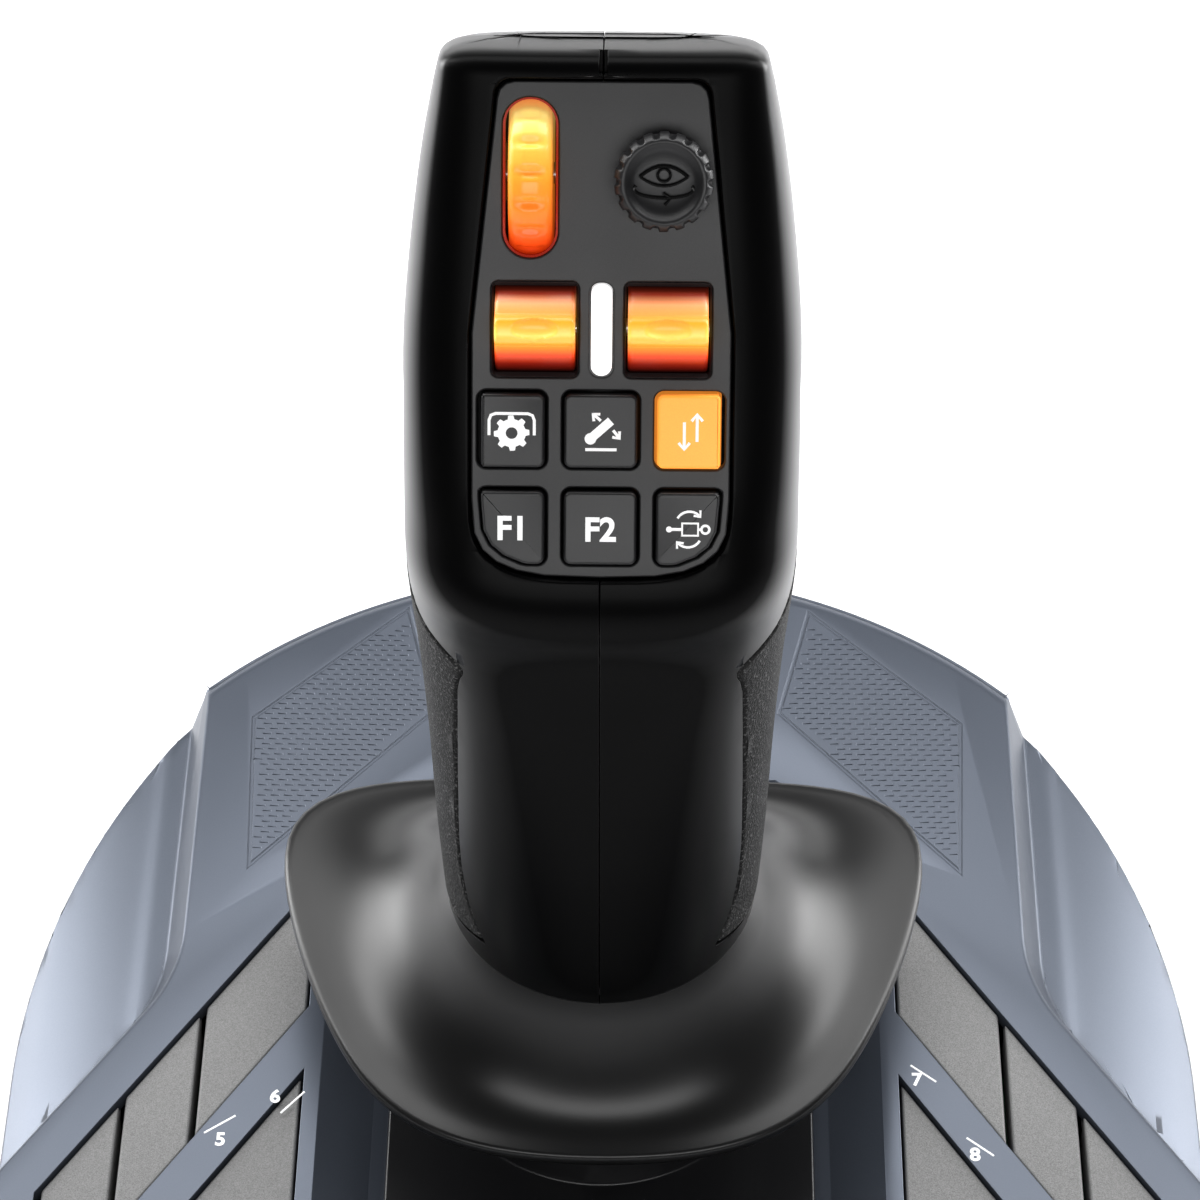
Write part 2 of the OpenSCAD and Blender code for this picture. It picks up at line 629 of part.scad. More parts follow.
// a point of the handle's outline: y, and the height above the seam
function up(y, rise) = [y, seam_z + rise];
grip_sections = [
  [up(stick_y - grip_foot_r, 0), up(stick_y + grip_foot_r, 0), grip_foot_r, 2, 2],
  [up(-27.4, 5), up(21, 6), grip_foot_r + 0.4, 2, 2],
  [up(-25.8, 18), up(21.6, 22), grip_foot_r + 1.1, 2.1, 2.1],
  [up(-23.8, 36), up(22.6, 40), grip_foot_r + 1.7, 2.2, 2.2],
  [up(-21.8, 54), up(24.6, 54), grip_foot_r + 2.6, 2.4, 2.3],
  [up(-20.2, 68), up(27.4, 64), head_half_w - 0.4, 2.8, 2.4],
  head_section(-6, up(29.6, 71), head_half_w, 3.2, 2.5, 0.6),
  head_section(3, up(32.4, 77), head_half_w, 3.6, 2.6),
  head_section(14, up(36.4, 84.5), head_half_w, 4, 2.6),
  head_section(28, up(40.5, 95), head_half_w - 0.1, 4, 2.6),
  head_section(42, up(43.6, 106), head_half_w - 1.2, 4, 2.7),
  head_section(54, up(44.8, 116), head_half_w - 2.6, 4, 2.8),
  head_section(64, up(44, 125), head_half_w - 4.2, 4, 2.9),
  head_section(70, up(41.2, 131), head_half_w - 5.4, 4, 3),
  head_section(71.6, up(38.4, 133.4), head_half_w - 6.6, 4, 3, 0)];

function grip_ring(s, inset) = let (f = s[0], b = s[1], c = (f + b) / 2, l = norm(b - f), u = (b - f) / l,
    a = s[2] - inset, h = l / 2 - inset)
  [for (j = [0:47]) let (t = 7.5 * j, e = 2 / (sin(t) < 0 ? s[3] : s[4]), d = h * spow(sin(t), e))
    [a * spow(cos(t), e), c[0] + u[0] * d, c[1] + u[1] * d]];

module grip_skin(inset, first = 0, last = 14)
  loft([for (i = [first:last]) grip_ring(grip_sections[i], inset)]);

module grip_cavity() difference() {
  grip_skin(grip_wall, 0, 13);
  translate([0, 0, hub_z - 10]) cylinder(r = 60, h = 13.6);
}

module panel_outline(g = 0) {
  // straight tapering sides, a round foot and small round top corners
  corner = 2.4;
  w0 = panel_half_w + g;
  w1 = panel_top_half_w + g;
  top = panel_len + g;
  polygon(concat(
    [for (a = [180:15:360]) [w0 * spow(cos(a), 0.62), 11 + (11 + g) * spow(sin(a), 0.62)]],
    [[w0, 34]],
    [for (a = [0:30:90]) [w1 - corner + corner * cos(a), top - corner + corner * sin(a)]],
    [for (a = [90:30:180]) [-w1 + corner + corner * cos(a), top - corner + corner * sin(a)]],
    [[-w0, 34]]));
}

module pad_region() {
  // flank zone that the grip pad covers, seen along X
  rotate([90, 0, 90]) translate([0, seam_z, 8]) linear_extrude(30)
    polygon([[-20, 4.8], [-17, 12], [-15.4, 24], [-15.2, 44], [-15.6, 59], [-16.4, 64], [-14.2, 66.4],
      [-10, 68.4], [-5, 71], [2, 73.2], [10, 74], [16, 72], [19.5, 64], [19, 44], [18.5, 24], [17.4, 12],
      [12, 4.5], [3, 2.6], [-6, 2.4], [-14, 2.8]]);
}

module pad_cut() difference() {
  pad_region();
  grip_skin(pad_t);
}

module pad_shell() intersection() {
  pad_cut();
  grip_skin(0);
}

module grip_screw_holes(side) for (p = grip_screws) translate([0, p[0], p[1]]) {
  along_x(-1, side > 0 ? 40 : 10, side > 0 ? 1.6 : 1.2);
  if (side > 0) along_x(grip_screw_seat, 40, 2.9);
}

// One half of the handle, on the +X side
module handle_half(side) {
  $fn = 24;
  union() {
    difference() {
      intersection() {
        grip_skin(0);
        translate([0, -60, seam_z - 6]) cube([60, 140, 160]);
      }
      grip_cavity();
      pad_cut();
      on_panel() {
        translate([0, 0, panel_z]) linear_extrude(12) panel_outline(cover_fit);
        translate([0, 0, -14]) linear_extrude(13) panel_outline(-1.2);
      }
      // foot opening around the hub
      translate([0, stick_y, seam_z - 1]) cylinder(r = hub_r, h = 10, $fn = 64);
      // trigger slot
      translate([-trigger_w / 2 - 0.6, 12, trigger_pin_z - 19.5]) cube([trigger_w + 1.2, 40, 24]);
      // sunk seat of the flank screw
      translate([head_half_w - 3.2, flank_screw_y, flank_screw_z]) along_x(0, 20, 3.4);
      translate([0, flank_screw_y, flank_screw_z]) along_x(10, 40, 1.5);
      grip_screw_holes(side);
    }
    for (p = grip_screws) translate([0, p[0], p[1]]) difference() {
      intersection() {
        along_x(0, 40, 4.2);
        grip_skin(pad_t + 0.4);
      }
      translate([0, -p[0], -p[1]]) grip_screw_holes(side);
    }
  }
}

module handle_right() color([0.05, 0.05, 0.055]) resize([0, 0, 0]) handle_half(1);
module handle_left() color([0.05, 0.05, 0.055]) resize([0, 0, 0]) mirror([1, 0, 0]) handle_half(-1);
module grip_pad_right() color([0.08, 0.08, 0.08]) resize([0, 0, 0]) pad_shell();
module grip_pad_left() color([0.08, 0.08, 0.08]) resize([0, 0, 0]) mirror([1, 0, 0]) pad_shell();

module handle_screws() color([0.3, 0.3, 0.31]) {
  for (p = grip_screws) translate([0, p[0], p[1]]) {
    along_x(-9, grip_screw_seat, 1.2);
    along_x(grip_screw_seat, grip_screw_seat + 2, 2.6);
  }
  both_sides() translate([0, flank_screw_y, flank_screw_z]) {
    along_x(18, head_half_w - 3.2, 1.2);
    along_x(head_half_w - 3.2, head_half_w - 1.4, 2.8);
  }
}

// ---- panel and controls, in the panel's frame ----
module key_window(g) {
  for (x = [-panel_pitch, 0, panel_pitch]) {
    translate([x, high_row_t]) round_rect((x == 0 ? 10 : 9) + 2 * g, 10.2 + 2 * g, 1 + g);
    intersection() {
      translate([x, low_row_t]) round_rect((x == 0 ? 10 : 9) + 2 * g, 10.2 + 2 * g, 1 + g);
      panel_outline(-1.4 + g);
    }
  }
}

module control_panel() color([0.2, 0.2, 0.21]) on_panel() difference() {
  translate([0, 0, panel_z]) linear_extrude(panel_t) panel_outline();
  translate([0, 0, -10]) linear_extrude(20) {
    key_window(key_fit);
    translate([wheel_x, wheel_t]) round_rect(wheel_w + 1.6, 21.8, (wheel_w + 1.6) / 2 - 0.1);
    for (s = [-1, 1]) translate([s * roller_x, roller_t]) round_rect(roller_w + 1, 13.2, 1);
    translate([0, roller_t]) round_rect(2.9 + 2 * cover_fit, 12.6 + 2 * cover_fit, 1.4);
    translate([knob_x, knob_t]) circle(5.4);
  }
}

// Key k of the panel: 1 to 3 in the upper row, 4 to 6 in the lower
module panel_key(k) color(k == 3 ? [1, 0.5, 0.1] : [0.09, 0.09, 0.1]) on_panel() {
  x = ((k - 1) % 3 - 1) * panel_pitch;
  y = k < 4 ? high_row_t : low_row_t;
  w = x == 0 ? 10 : 9;
  intersection() {
    translate([x, y, -5]) linear_extrude(6.5) round_rect(w, 10.2, 1);
    translate([0, 0, -10]) linear_extrude(20) panel_outline(-1.4);
  }
  translate([x, y, panel_z - 1.3]) linear_extrude(1.2) intersection() {
    round_rect(w + 1.2, 11.2, 1);
    translate([-x, -y]) panel_outline(-0.8);
  }
}

module head_board() color([0.05, 0.3, 0.15]) on_panel() {
  translate([0, 0, -9]) linear_extrude(board_t) difference() {
    translate([0, 14]) round_rect(34, 25, 2);
    for (s = [-1, 1]) translate([s * 15, 14]) circle(1.2);
  }
  for (x = [-panel_pitch, 0, panel_pitch], y = [low_row_t, high_row_t])
    translate([x, y, -9 + board_t]) linear_extrude(2.3 - panel_key_travel) square(4.5, center = true);
}

module head_frame() color([0.15, 0.15, 0.16]) on_panel() difference() {
  union() {
    translate([0, 0, frame_z]) linear_extrude(frame_t)
      polygon([[-17, 0], [17, 0], [17, 46], [15, 66], [-15, 66], [-17, 46]]);
    // posts under the key board
    for (s = [-1, 1]) translate([s * 15, 14, frame_z]) cylinder(r = 2.2, h = -9 - frame_z);
    // ears that take the flank screws
    for (s = [0, 180]) rotate([0, 0, s]) translate([0, s == 0 ? flank_t : -flank_t, flank_h])
      along_x(13, 24.6, 3.2);
    // walls that carry the roller axles
    for (x = [-17, -2.9, 1.5, 15.6]) translate([x, roller_t - 5, frame_z])
      cube([1.4, 10, -frame_z + panel_z - 0.1]);
    // walls that carry the thumb wheel's axle
    for (x = [wheel_x - wheel_w / 2 - 2, wheel_x + wheel_w / 2 + 0.6])
      translate([x, wheel_t - 4, frame_z]) cube([1.4, 8, -frame_z + panel_z - 0.1]);
  }
  // room for the thumb wheel and the rollers
  translate([wheel_x, wheel_t, 0]) cube([wheel_w + 1.2, 2 * wheel_r - 1.2, 60], center = true);
  for (x = [-roller_x, roller_x]) translate([x, roller_t, roller_axis_z])
    along_x(-roller_w / 2 - 0.3, roller_w / 2 + 0.3, 8);
  for (s = [-1, 1]) translate([s * roller_x, roller_t, roller_axis_z]) along_x(-8, 8, axle_r);
  translate([wheel_x, wheel_t, wheel_axis_z]) along_x(-6, 6, wheel_axle_r);
  translate([0, flank_t, flank_h]) along_x(-30, 30, 1.2);
}

module head_axles() color([0.75, 0.75, 0.77]) on_panel() {
  for (s = [-1, 1]) translate([s * roller_x, roller_t, roller_axis_z]) along_x(-7.4, 7.4, axle_r);
  translate([wheel_x, wheel_t, wheel_axis_z]) along_x(-5, 5, wheel_axle_r);
}

module thumb_wheel() color([1, 0.47, 0.12]) on_panel() translate([wheel_x, wheel_t, wheel_axis_z])
difference() {
  rotate([0, 90, 0]) rotate_extrude() {
    polygon([[0, -wheel_w / 2], [wheel_r - 1.5, -wheel_w / 2], [wheel_r - 0.4, 0.9 - wheel_w / 2],
      [wheel_r, 2 - wheel_w / 2], [wheel_r, wheel_w / 2 - 2], [wheel_r - 0.4, wheel_w / 2 - 0.9],
      [wheel_r - 1.5, wheel_w / 2], [0, wheel_w / 2]]);
  }
  along_x(-wheel_w, wheel_w, wheel_axle_r + run_gap);
  for (a = [0:20:340]) rotate([a + 10, 0, 0]) translate([0, wheel_r + 3.4, 0]) along_x(-wheel_w, wheel_w, 4);
}

module roller(side) color([1, 0.45, 0.12]) on_panel() translate([side * roller_x, roller_t, roller_axis_z])
difference() {
  union() {
    along_x(-roller_w / 2, roller_w / 2, roller_r);
    // raised ridge
    translate([0, 0, roller_r - 1]) along_x(-roller_w / 2, roller_w / 2, 2.1);
  }
  along_x(-roller_w, roller_w, axle_r + run_gap);
  translate([0, 0, roller_r + 5]) sphere(r = 4.6);
}

module roller_left() roller(-1);
module roller_right() roller(1);

module light_bar() color([0.95, 0.95, 0.95]) on_panel() translate([0, roller_t, -5])
  linear_extrude(5.3) round_rect(2.9, 12.6, 1.4);

module knob_housing() color([0.15, 0.15, 0.16]) on_panel() translate([knob_x, knob_t, 0]) difference() {
  translate([0, 0, frame_z + frame_t]) linear_extrude(panel_z - 0.1 - frame_z - frame_t)
    round_rect(15, 15, 1.5);
  translate([0, 0, -11.5]) cylinder(r = 6.3, h = 20);
  translate([0, 0, knob_pivot_z]) along_x(-9, 9, 0.8 + run_gap);
}

module knob_ring() color([0.6, 0.6, 0.62]) on_panel() translate([knob_x, knob_t, knob_pivot_z]) difference() {
  union() {
    translate([0, 0, -1.3]) cylinder(r = 5.6, h = 2.6);
    along_x(-7.3, 7.3, 0.8);
  }
  translate([0, 0, -3]) cylinder(r = 4.2, h = 6);
  rotate(90) along_x(-6, 6, 0.8 + run_gap);
}

module camera_knob() color([0.09, 0.09, 0.1]) on_panel() translate([knob_x, knob_t, knob_pivot_z]) {
  cylinder(r = 3.3, h = 2.2, center = true);
  rotate(90) along_x(-5.4, 5.4, 0.8);
  cylinder(r = 2.2, h = 9);
  // serrated cap
  translate([0, 0, 8.4]) difference() {
    cylinder(r = knob_r, h = 3.4);
    for (a = [0:15:345]) rotate(a) translate([knob_r + 0.55, 0, -1]) cylinder(r = 1, h = 6);
    translate([0, 0, 2.9]) cylinder(r = 5.2, h = 2);
  }
}

module trigger() color([0.07, 0.07, 0.075]) translate([-trigger_w / 2, trigger_pin_y, trigger_pin_z])
difference() {
  rotate([90, 0, 90]) linear_extrude(trigger_w) {
    circle(3.4);
    polygon([[0, 3.4], [9.4, 3.4], [14.8, 1.6], [13.8, -3], [11.4, -8], [9.6, -12.4], [9, -16.4], [8, -18.4],
      [6, -18.5], [4.4, -17], [3.4, -11], [0.8, -3.2]]);
  }
  along_x(-1, trigger_w + 1, trigger_pin_r + run_gap);
}

module trigger_pin() color([0.75, 0.75, 0.77]) translate([0, trigger_pin_y, trigger_pin_z])
  along_x(-trigger_w / 2 - 2.3, trigger_w / 2 + 2.3, trigger_pin_r);

module trigger_bracket() color([0.15, 0.15, 0.16]) difference() {
  union() {
    for (x = [-trigger_w / 2 - 2.4, trigger_w / 2 + 0.6]) translate([x, 17, trigger_pin_z - 6])
      cube([1.8, 10.4, 10.5]);
    translate([-trigger_w / 2 - 2.4, 15.5, trigger_pin_z - 15]) cube([trigger_w + 4.8, 1.6, 19.5]);
  }
  translate([0, trigger_pin_y, trigger_pin_z]) along_x(-20, 20, trigger_pin_r);
}

base_bottom_shell();
base_top_shell();
console_panel();
rubber_feet();
base_screws();
ballast_plate();
main_board();
key_boards();
usb_inlet();
throttle_slider();
throttle_pot();
base_key_side(-1, 0);  // base_key_left_1
base_key_side(-1, 1);  // base_key_left_2
base_key_side(-1, 2);  // base_key_left_3
base_key_side(-1, 3);  // base_key_left_4
base_key_side(-1, 4);  // base_key_left_5
base_key_side(1, 0);  // base_key_right_1
base_key_side(1, 1);  // base_key_right_2
base_key_side(1, 2);  // base_key_right_3
base_key_side(1, 3);  // base_key_right_4
base_key_side(1, 4);  // base_key_right_5
gimbal_cradle();
gimbal_ring();
pitch_pins();
gimbal_yoke();
roll_pins();
centering_spring();
stick_magnet();
sensor_board();
dust_dome();
stem_tube();
stem_clip();
skirt();
skirt_screws();
twist_hub();
handle_left();
handle_right();
grip_pad_left();
grip_pad_right();
handle_screws();
control_panel();
head_frame();
head_board();
head_axles();
thumb_wheel();
roller_left();
roller_right();
light_bar();
knob_housing();
knob_ring();
camera_knob();
panel_key(1);  // panel_key_1
panel_key(2);  // panel_key_2
panel_key(3);  // panel_key_3
panel_key(4);  // panel_key_4
panel_key(5);  // panel_key_5
panel_key(6);  // panel_key_6
trigger();
trigger_pin();
trigger_bracket();
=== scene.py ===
import json
import bpy
import bmesh
from math import cos, pi, radians, sin, tan
from mathutils import Matrix, Vector


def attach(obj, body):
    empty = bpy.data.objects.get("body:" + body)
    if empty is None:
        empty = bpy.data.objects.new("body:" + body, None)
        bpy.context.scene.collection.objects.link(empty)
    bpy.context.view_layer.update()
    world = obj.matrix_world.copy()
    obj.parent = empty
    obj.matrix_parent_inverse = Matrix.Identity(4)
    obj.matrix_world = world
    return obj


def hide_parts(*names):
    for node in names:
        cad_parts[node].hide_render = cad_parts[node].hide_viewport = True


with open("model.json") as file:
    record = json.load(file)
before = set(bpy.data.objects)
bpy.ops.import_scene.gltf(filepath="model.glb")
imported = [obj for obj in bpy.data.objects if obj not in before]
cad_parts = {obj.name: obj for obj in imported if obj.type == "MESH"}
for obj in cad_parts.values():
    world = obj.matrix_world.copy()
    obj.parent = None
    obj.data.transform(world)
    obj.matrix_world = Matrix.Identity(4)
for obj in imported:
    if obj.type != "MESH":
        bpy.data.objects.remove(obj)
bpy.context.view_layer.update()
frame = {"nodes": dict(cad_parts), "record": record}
mm = 0.001
print("frame loaded:", len(frame["nodes"]), "nodes")


view = {"aim": (-0.44, 15.33, 130), "distance": 600, "azimuth": 0.86, "elevation": 47.99, "roll": -0.11,
        "lens": 119.25}


def addCamera():
    turn, rise = radians(view["azimuth"]), radians(view["elevation"])
    back = Vector((sin(turn) * cos(rise), -cos(turn) * cos(rise), sin(rise)))
    data = bpy.data.cameras.new("camera")
    data.lens = view["lens"]
    data.sensor_width = 36
    data.clip_start = 0.02
    camera = bpy.data.objects.new("camera", data)
    eye = (Vector(view["aim"]) + back * view["distance"]) * mm
    spin = back.to_track_quat("Z", "Y").to_matrix().to_4x4() @ Matrix.Rotation(radians(view["roll"]), 4, "Z")
    camera.matrix_world = Matrix.Translation(eye) @ spin
    bpy.context.scene.collection.objects.link(camera)
    bpy.context.scene.camera = camera


studio = {
    "floor": 6.0,
    "world": 0.08,
    "gamma": 0.9,
    "lights": [  # name, place, aim, width, height, watts
        ("leftBox", (-0.95, 0.50, 0.27), (0, 0.05, 0.14), 0.36, 1.80, 24),
        ("rightBox", (0.95, 0.50, 0.27), (0, 0.05, 0.14), 0.36, 1.80, 24),
        ("topBox", (0, 0.66, 1.26), (0, 0, 0.05), 2.0, 0.55, 20),
        ("rearBox", (0, 1.50, 0.40), (0, 0, 0.15), 2.4, 0.50, 9),
        ("frontBox", (0, -0.60, 0.50), (0, -0.08, 0.03), 0.9, 0.25, 3.6),
    ],
}


def addStudio():
    bm = bmesh.new()
    bmesh.ops.create_grid(bm, x_segments=1, y_segments=1, size=studio["floor"] / 2)
    mesh = bpy.data.meshes.new("floor")
    bm.to_mesh(mesh)
    bm.free()
    floor = bpy.data.objects.new("floor", mesh)
    bpy.context.scene.collection.objects.link(floor)
    paper = bpy.data.materials.new("paper")
    paper.use_nodes = True
    shader = paper.node_tree.nodes["Principled BSDF"]
    shader.inputs["Base Color"].default_value = (0.93, 0.93, 0.94, 1)
    shader.inputs["Roughness"].default_value = 0.9
    shader.inputs["Specular IOR Level"].default_value = 0.1
    mesh.materials.append(paper)
    world = bpy.data.worlds.new("studio")
    bpy.context.scene.world = world
    world.use_nodes = True
    sky = world.node_tree.nodes["Background"]
    sky.inputs["Color"].default_value = (1, 1, 1, 1)
    sky.inputs["Strength"].default_value = studio["world"]
    for name, spot, aim, width, height, watts in studio["lights"]:
        data = bpy.data.lights.new(name, "AREA")
        data.shape = "RECTANGLE"
        data.size, data.size_y, data.energy = width, height, watts
        lamp = bpy.data.objects.new(name, data)
        lamp.location = spot
        lamp.rotation_euler = (Vector(spot) - Vector(aim)).to_track_quat("Z", "Y").to_euler()
        bpy.context.scene.collection.objects.link(lamp)
    bpy.context.scene.view_settings.view_transform = "Standard"
    bpy.context.scene.view_settings.gamma = studio["gamma"]


addCamera()
addStudio()
print("camera and studio set")


panelFoot = (-16, 169.3)  # y and z of the panel's lower end
panelTilt = radians(53)


def surface(name, color, rough, grain=0.35, depth=0.02, mottle=0.06, roughSpread=0.06, coat=0.0, metal=0.0,
            specular=0.5, glow=0.0, rimGloss=None, paintedLightBands=None, paintedGlints=None):
    # grain is the size of the texture in mm, and depth its height in mm
    material = bpy.data.materials.new(name)
    material.use_nodes = True
    nodes, links = material.node_tree.nodes, material.node_tree.links
    shader = nodes["Principled BSDF"]
    shader.inputs["Metallic"].default_value = metal
    shader.inputs["Coat Weight"].default_value = coat
    shader.inputs["Coat Roughness"].default_value = 0.2
    shader.inputs["Specular IOR Level"].default_value = specular
    spot = nodes.new("ShaderNodeTexCoord")
    fine = nodes.new("ShaderNodeTexNoise")
    fine.inputs["Scale"].default_value = 1 / (grain * mm)
    fine.inputs["Detail"].default_value = 3
    broad = nodes.new("ShaderNodeTexNoise")
    broad.inputs["Scale"].default_value = 45
    broad.inputs["Detail"].default_value = 2
    links.new(spot.outputs["Object"], fine.inputs["Vector"])
    links.new(spot.outputs["Object"], broad.inputs["Vector"])
    ramp = nodes.new("ShaderNodeValToRGB")
    ramp.color_ramp.elements[0].position = 0.3
    ramp.color_ramp.elements[1].position = 0.7
    ramp.color_ramp.elements[0].color = [c * (1 - mottle) for c in color] + [1]
    ramp.color_ramp.elements[1].color = [min(1, c * (1 + mottle)) for c in color] + [1]
    links.new(fine.outputs["Fac"], ramp.inputs["Fac"])
    tone = ramp.outputs["Color"]
    # painted glints: pale specks where light would sparkle on the rubber, in place of the mottle
    if paintedGlints:
        ramp.color_ramp.elements[0].position = 0.56
        ramp.color_ramp.elements[1].position = 0.68
        ramp.color_ramp.elements[0].color = [*color, 1]
        ramp.color_ramp.elements[1].color = [*paintedGlints, 1]
    if paintedLightBands:  # painted highlight and shade: colours by the distance up the panel, in mm
        turned = nodes.new("ShaderNodeMapping")
        turned.inputs["Rotation"].default_value = (-panelTilt, 0, 0)
        foot = Matrix.Rotation(-panelTilt, 3, "X") @ Vector((0, *panelFoot))
        turned.inputs["Location"].default_value = -foot * mm
        links.new(spot.outputs["Object"], turned.inputs["Vector"])
        split = nodes.new("ShaderNodeSeparateXYZ")
        links.new(turned.outputs["Vector"], split.inputs["Vector"])
        reach = nodes.new("ShaderNodeMapRange")
        reach.inputs["From Min"].default_value = paintedLightBands[0][0] * mm
        reach.inputs["From Max"].default_value = paintedLightBands[-1][0] * mm
        links.new(split.outputs["Y"], reach.inputs["Value"])
        paintedLightRamp = nodes.new("ShaderNodeValToRGB")
        for i, (up, shade) in enumerate(paintedLightBands):
            share = (up - paintedLightBands[0][0]) / (paintedLightBands[-1][0] - paintedLightBands[0][0])
            stop = paintedLightRamp.color_ramp.elements[i] if i < 2 else paintedLightRamp.color_ramp.elements.new(share)
            stop.position = share
            stop.color = [*shade, 1]
        links.new(reach.outputs["Result"], paintedLightRamp.inputs["Fac"])
        blend = nodes.new("ShaderNodeMix")
        blend.data_type = "RGBA"
        blend.blend_type = "MULTIPLY"
        blend.inputs["Factor"].default_value = 1
        links.new(tone, blend.inputs[6])
        links.new(paintedLightRamp.outputs["Color"], blend.inputs[7])
        tone = blend.outputs[2]
    links.new(tone, shader.inputs["Base Color"])
    spread = nodes.new("ShaderNodeMapRange")
    spread.inputs["To Min"].default_value = rough - roughSpread
    spread.inputs["To Max"].default_value = rough + roughSpread
    links.new(broad.outputs["Fac"], spread.inputs["Value"])
    links.new(spread.outputs["Result"], shader.inputs["Roughness"])
    bump = nodes.new("ShaderNodeBump")
    bump.inputs["Distance"].default_value = depth * mm
    links.new(fine.outputs["Fac"], bump.inputs["Height"])
    links.new(bump.outputs["Normal"], shader.inputs["Normal"])
    if rimGloss:
        facing = nodes.new("ShaderNodeLayerWeight")
        gloss = nodes.new("ShaderNodeMapRange")
        gloss.inputs["From Min"].default_value = 0.36
        gloss.inputs["From Max"].default_value = 0.72
        gloss.inputs["To Min"].default_value = rimGloss[0]
        gloss.inputs["To Max"].default_value = rimGloss[1]
        links.new(facing.outputs["Facing"], gloss.inputs["Value"])
        links.new(gloss.outputs["Result"], shader.inputs["Specular IOR Level"])
    if glow:
        links.new(tone, shader.inputs["Emission Color"])
        shader.inputs["Emission Strength"].default_value = glow
    return material


# painted light on the rollers: a yellow painted highlight along the ridge, painted red shade on the lower part, and
# near-black painted shade at both window edges
rollerPaintedLight = [(28.6, (0.02, 0.003, 0.002)), (29.9, (0.25, 0.01, 0.002)), (31.2, (0.85, 0.07, 0.005)),
               (32.6, (1, 0.34, 0.03)), (34.2, (1, 0.66, 0.14)), (36.0, (1, 0.38, 0.03)), (38.2, (1, 0.42, 0.18)),
               (39.4, (0.30, 0.03, 0.01)), (40.4, (0.02, 0.003, 0.002))]
# painted light on the wheel: a yellow painted highlight towards the top, painted red shade towards the lower end
wheelPaintedLight = [(43, (0.45, 0.02, 0.0)), (46.5, (0.9, 0.10, 0.01)), (50, (1, 0.23, 0.02)), (55, (1, 0.33, 0.03)),
              (60, (1, 0.50, 0.08)), (64, (1, 0.72, 0.22)), (67, (1, 0.30, 0.05))]

finishes = {
    "base_shell": surface("baseShell", (0.082, 0.094, 0.118), 0.33, grain=0.25, depth=0.004, mottle=0.04, metal=0.5,
                          roughSpread=0.03),
    "base_lower": surface("baseLower", (0.090, 0.102, 0.126), 0.36, grain=0.25, depth=0.004, mottle=0.04, metal=0.5,
                          roughSpread=0.03),
    "base_key": surface("baseKey", (0.21, 0.21, 0.21), 0.62, grain=0.16, depth=0.03, mottle=0.3),
    "console": surface("console", (0.008, 0.008, 0.009), 0.32, grain=0.3, depth=0.01),
    "skirt": surface("skirt", (0.004, 0.004, 0.0042), 0.33, grain=0.22, depth=0.006, mottle=0.1,
                     rimGloss=(0.45, 0.7)),
    "handle": surface("handle", (0.0015, 0.0015, 0.0016), 0.32, grain=0.2, depth=0.004, mottle=0.1,
                      rimGloss=(0.06, 0.95)),
    "panel": surface("panel", (0.020, 0.020, 0.021), 0.45, grain=0.18, depth=0.010, mottle=0.15),
    "panel_key": surface("panelKey", (0.010, 0.010, 0.011), 0.42, grain=0.18, depth=0.010, mottle=0.15),
    "orange_key": surface("orangeKey", (1.0, 0.36, 0.05), 0.45, grain=0.2, depth=0.006, mottle=0.04, glow=0.5),
    # the rollers' glow carries the painted highlight and shade of rollerPaintedLight
    "orange_roller": surface("orangeRoller", (0.97, 0.97, 0.97), 0.34, grain=0.4, depth=0.003, mottle=0.02, glow=0.35,
                             paintedLightBands=rollerPaintedLight),
    # grip rubber: a real bump grain, with painted glints as pale specks
    "grip_rubber": surface("gripRubber", (0.004, 0.004, 0.004), 0.6, grain=0.42, depth=0.3, specular=0.3,
                           paintedGlints=(0.10, 0.10, 0.10)),
    "rubber": surface("rubber", (0.02, 0.02, 0.02), 0.8, grain=0.4, depth=0.04, mottle=0.2),
    "light": surface("light", (0.95, 0.95, 0.95), 0.35, grain=0.4, depth=0.004, mottle=0.02, glow=0.8),
    "steel": surface("steel", (0.55, 0.56, 0.58), 0.28, grain=0.3, depth=0.006, metal=1.0),
    "zinc": surface("zinc", (0.30, 0.31, 0.33), 0.6, grain=0.8, depth=0.05, mottle=0.2, metal=0.6),
    "alloy": surface("alloy", (0.60, 0.61, 0.63), 0.38, grain=0.2, depth=0.010, metal=1.0),
    "inner_plastic": surface("innerPlastic", (0.012, 0.012, 0.013), 0.5, grain=0.35, depth=0.02, mottle=0.15),
    "board": surface("board", (0.01, 0.10, 0.04), 0.4, grain=1.6, depth=0.02, mottle=0.5, coat=0.4),
}
# the wheel's glow carries the painted highlight and shade of wheelPaintedLight
orangeWheel = surface("orangeWheel", (0.97, 0.97, 0.97), 0.34, grain=0.4, depth=0.003, mottle=0.02, glow=0.35,
                      paintedLightBands=wheelPaintedLight)
# painted red glow: an emitting red colour standing for light spilled from the wheel into its slot
paintedRedGlow = surface("paintedRedGlow", (0.35, 0.02, 0.004), 0.5, grain=0.4, depth=0.01, mottle=0.1, glow=0.12)
# white print: its colour is real, and its glow is painted brightness
inkWithPaintedGlow = surface("inkWithPaintedGlow", (0.86, 0.86, 0.86), 0.5, grain=0.3, depth=0.004, mottle=0.03, glow=0.2)
blackGloss = surface("blackGloss", (0.004, 0.004, 0.004), 0.18, grain=0.3, depth=0.002)

slotOf = {part["node"]: part["material_slot"] for part in frame["record"]["subparts"]}
for nodeName, node in frame["nodes"].items():
    node.data.materials.clear()
    node.data.materials.append(finishes[slotOf[nodeName]])
    for face in node.data.polygons:
        face.use_smooth = True
    node.data.set_sharp_from_angle(angle=radians(30))
print("materials made")


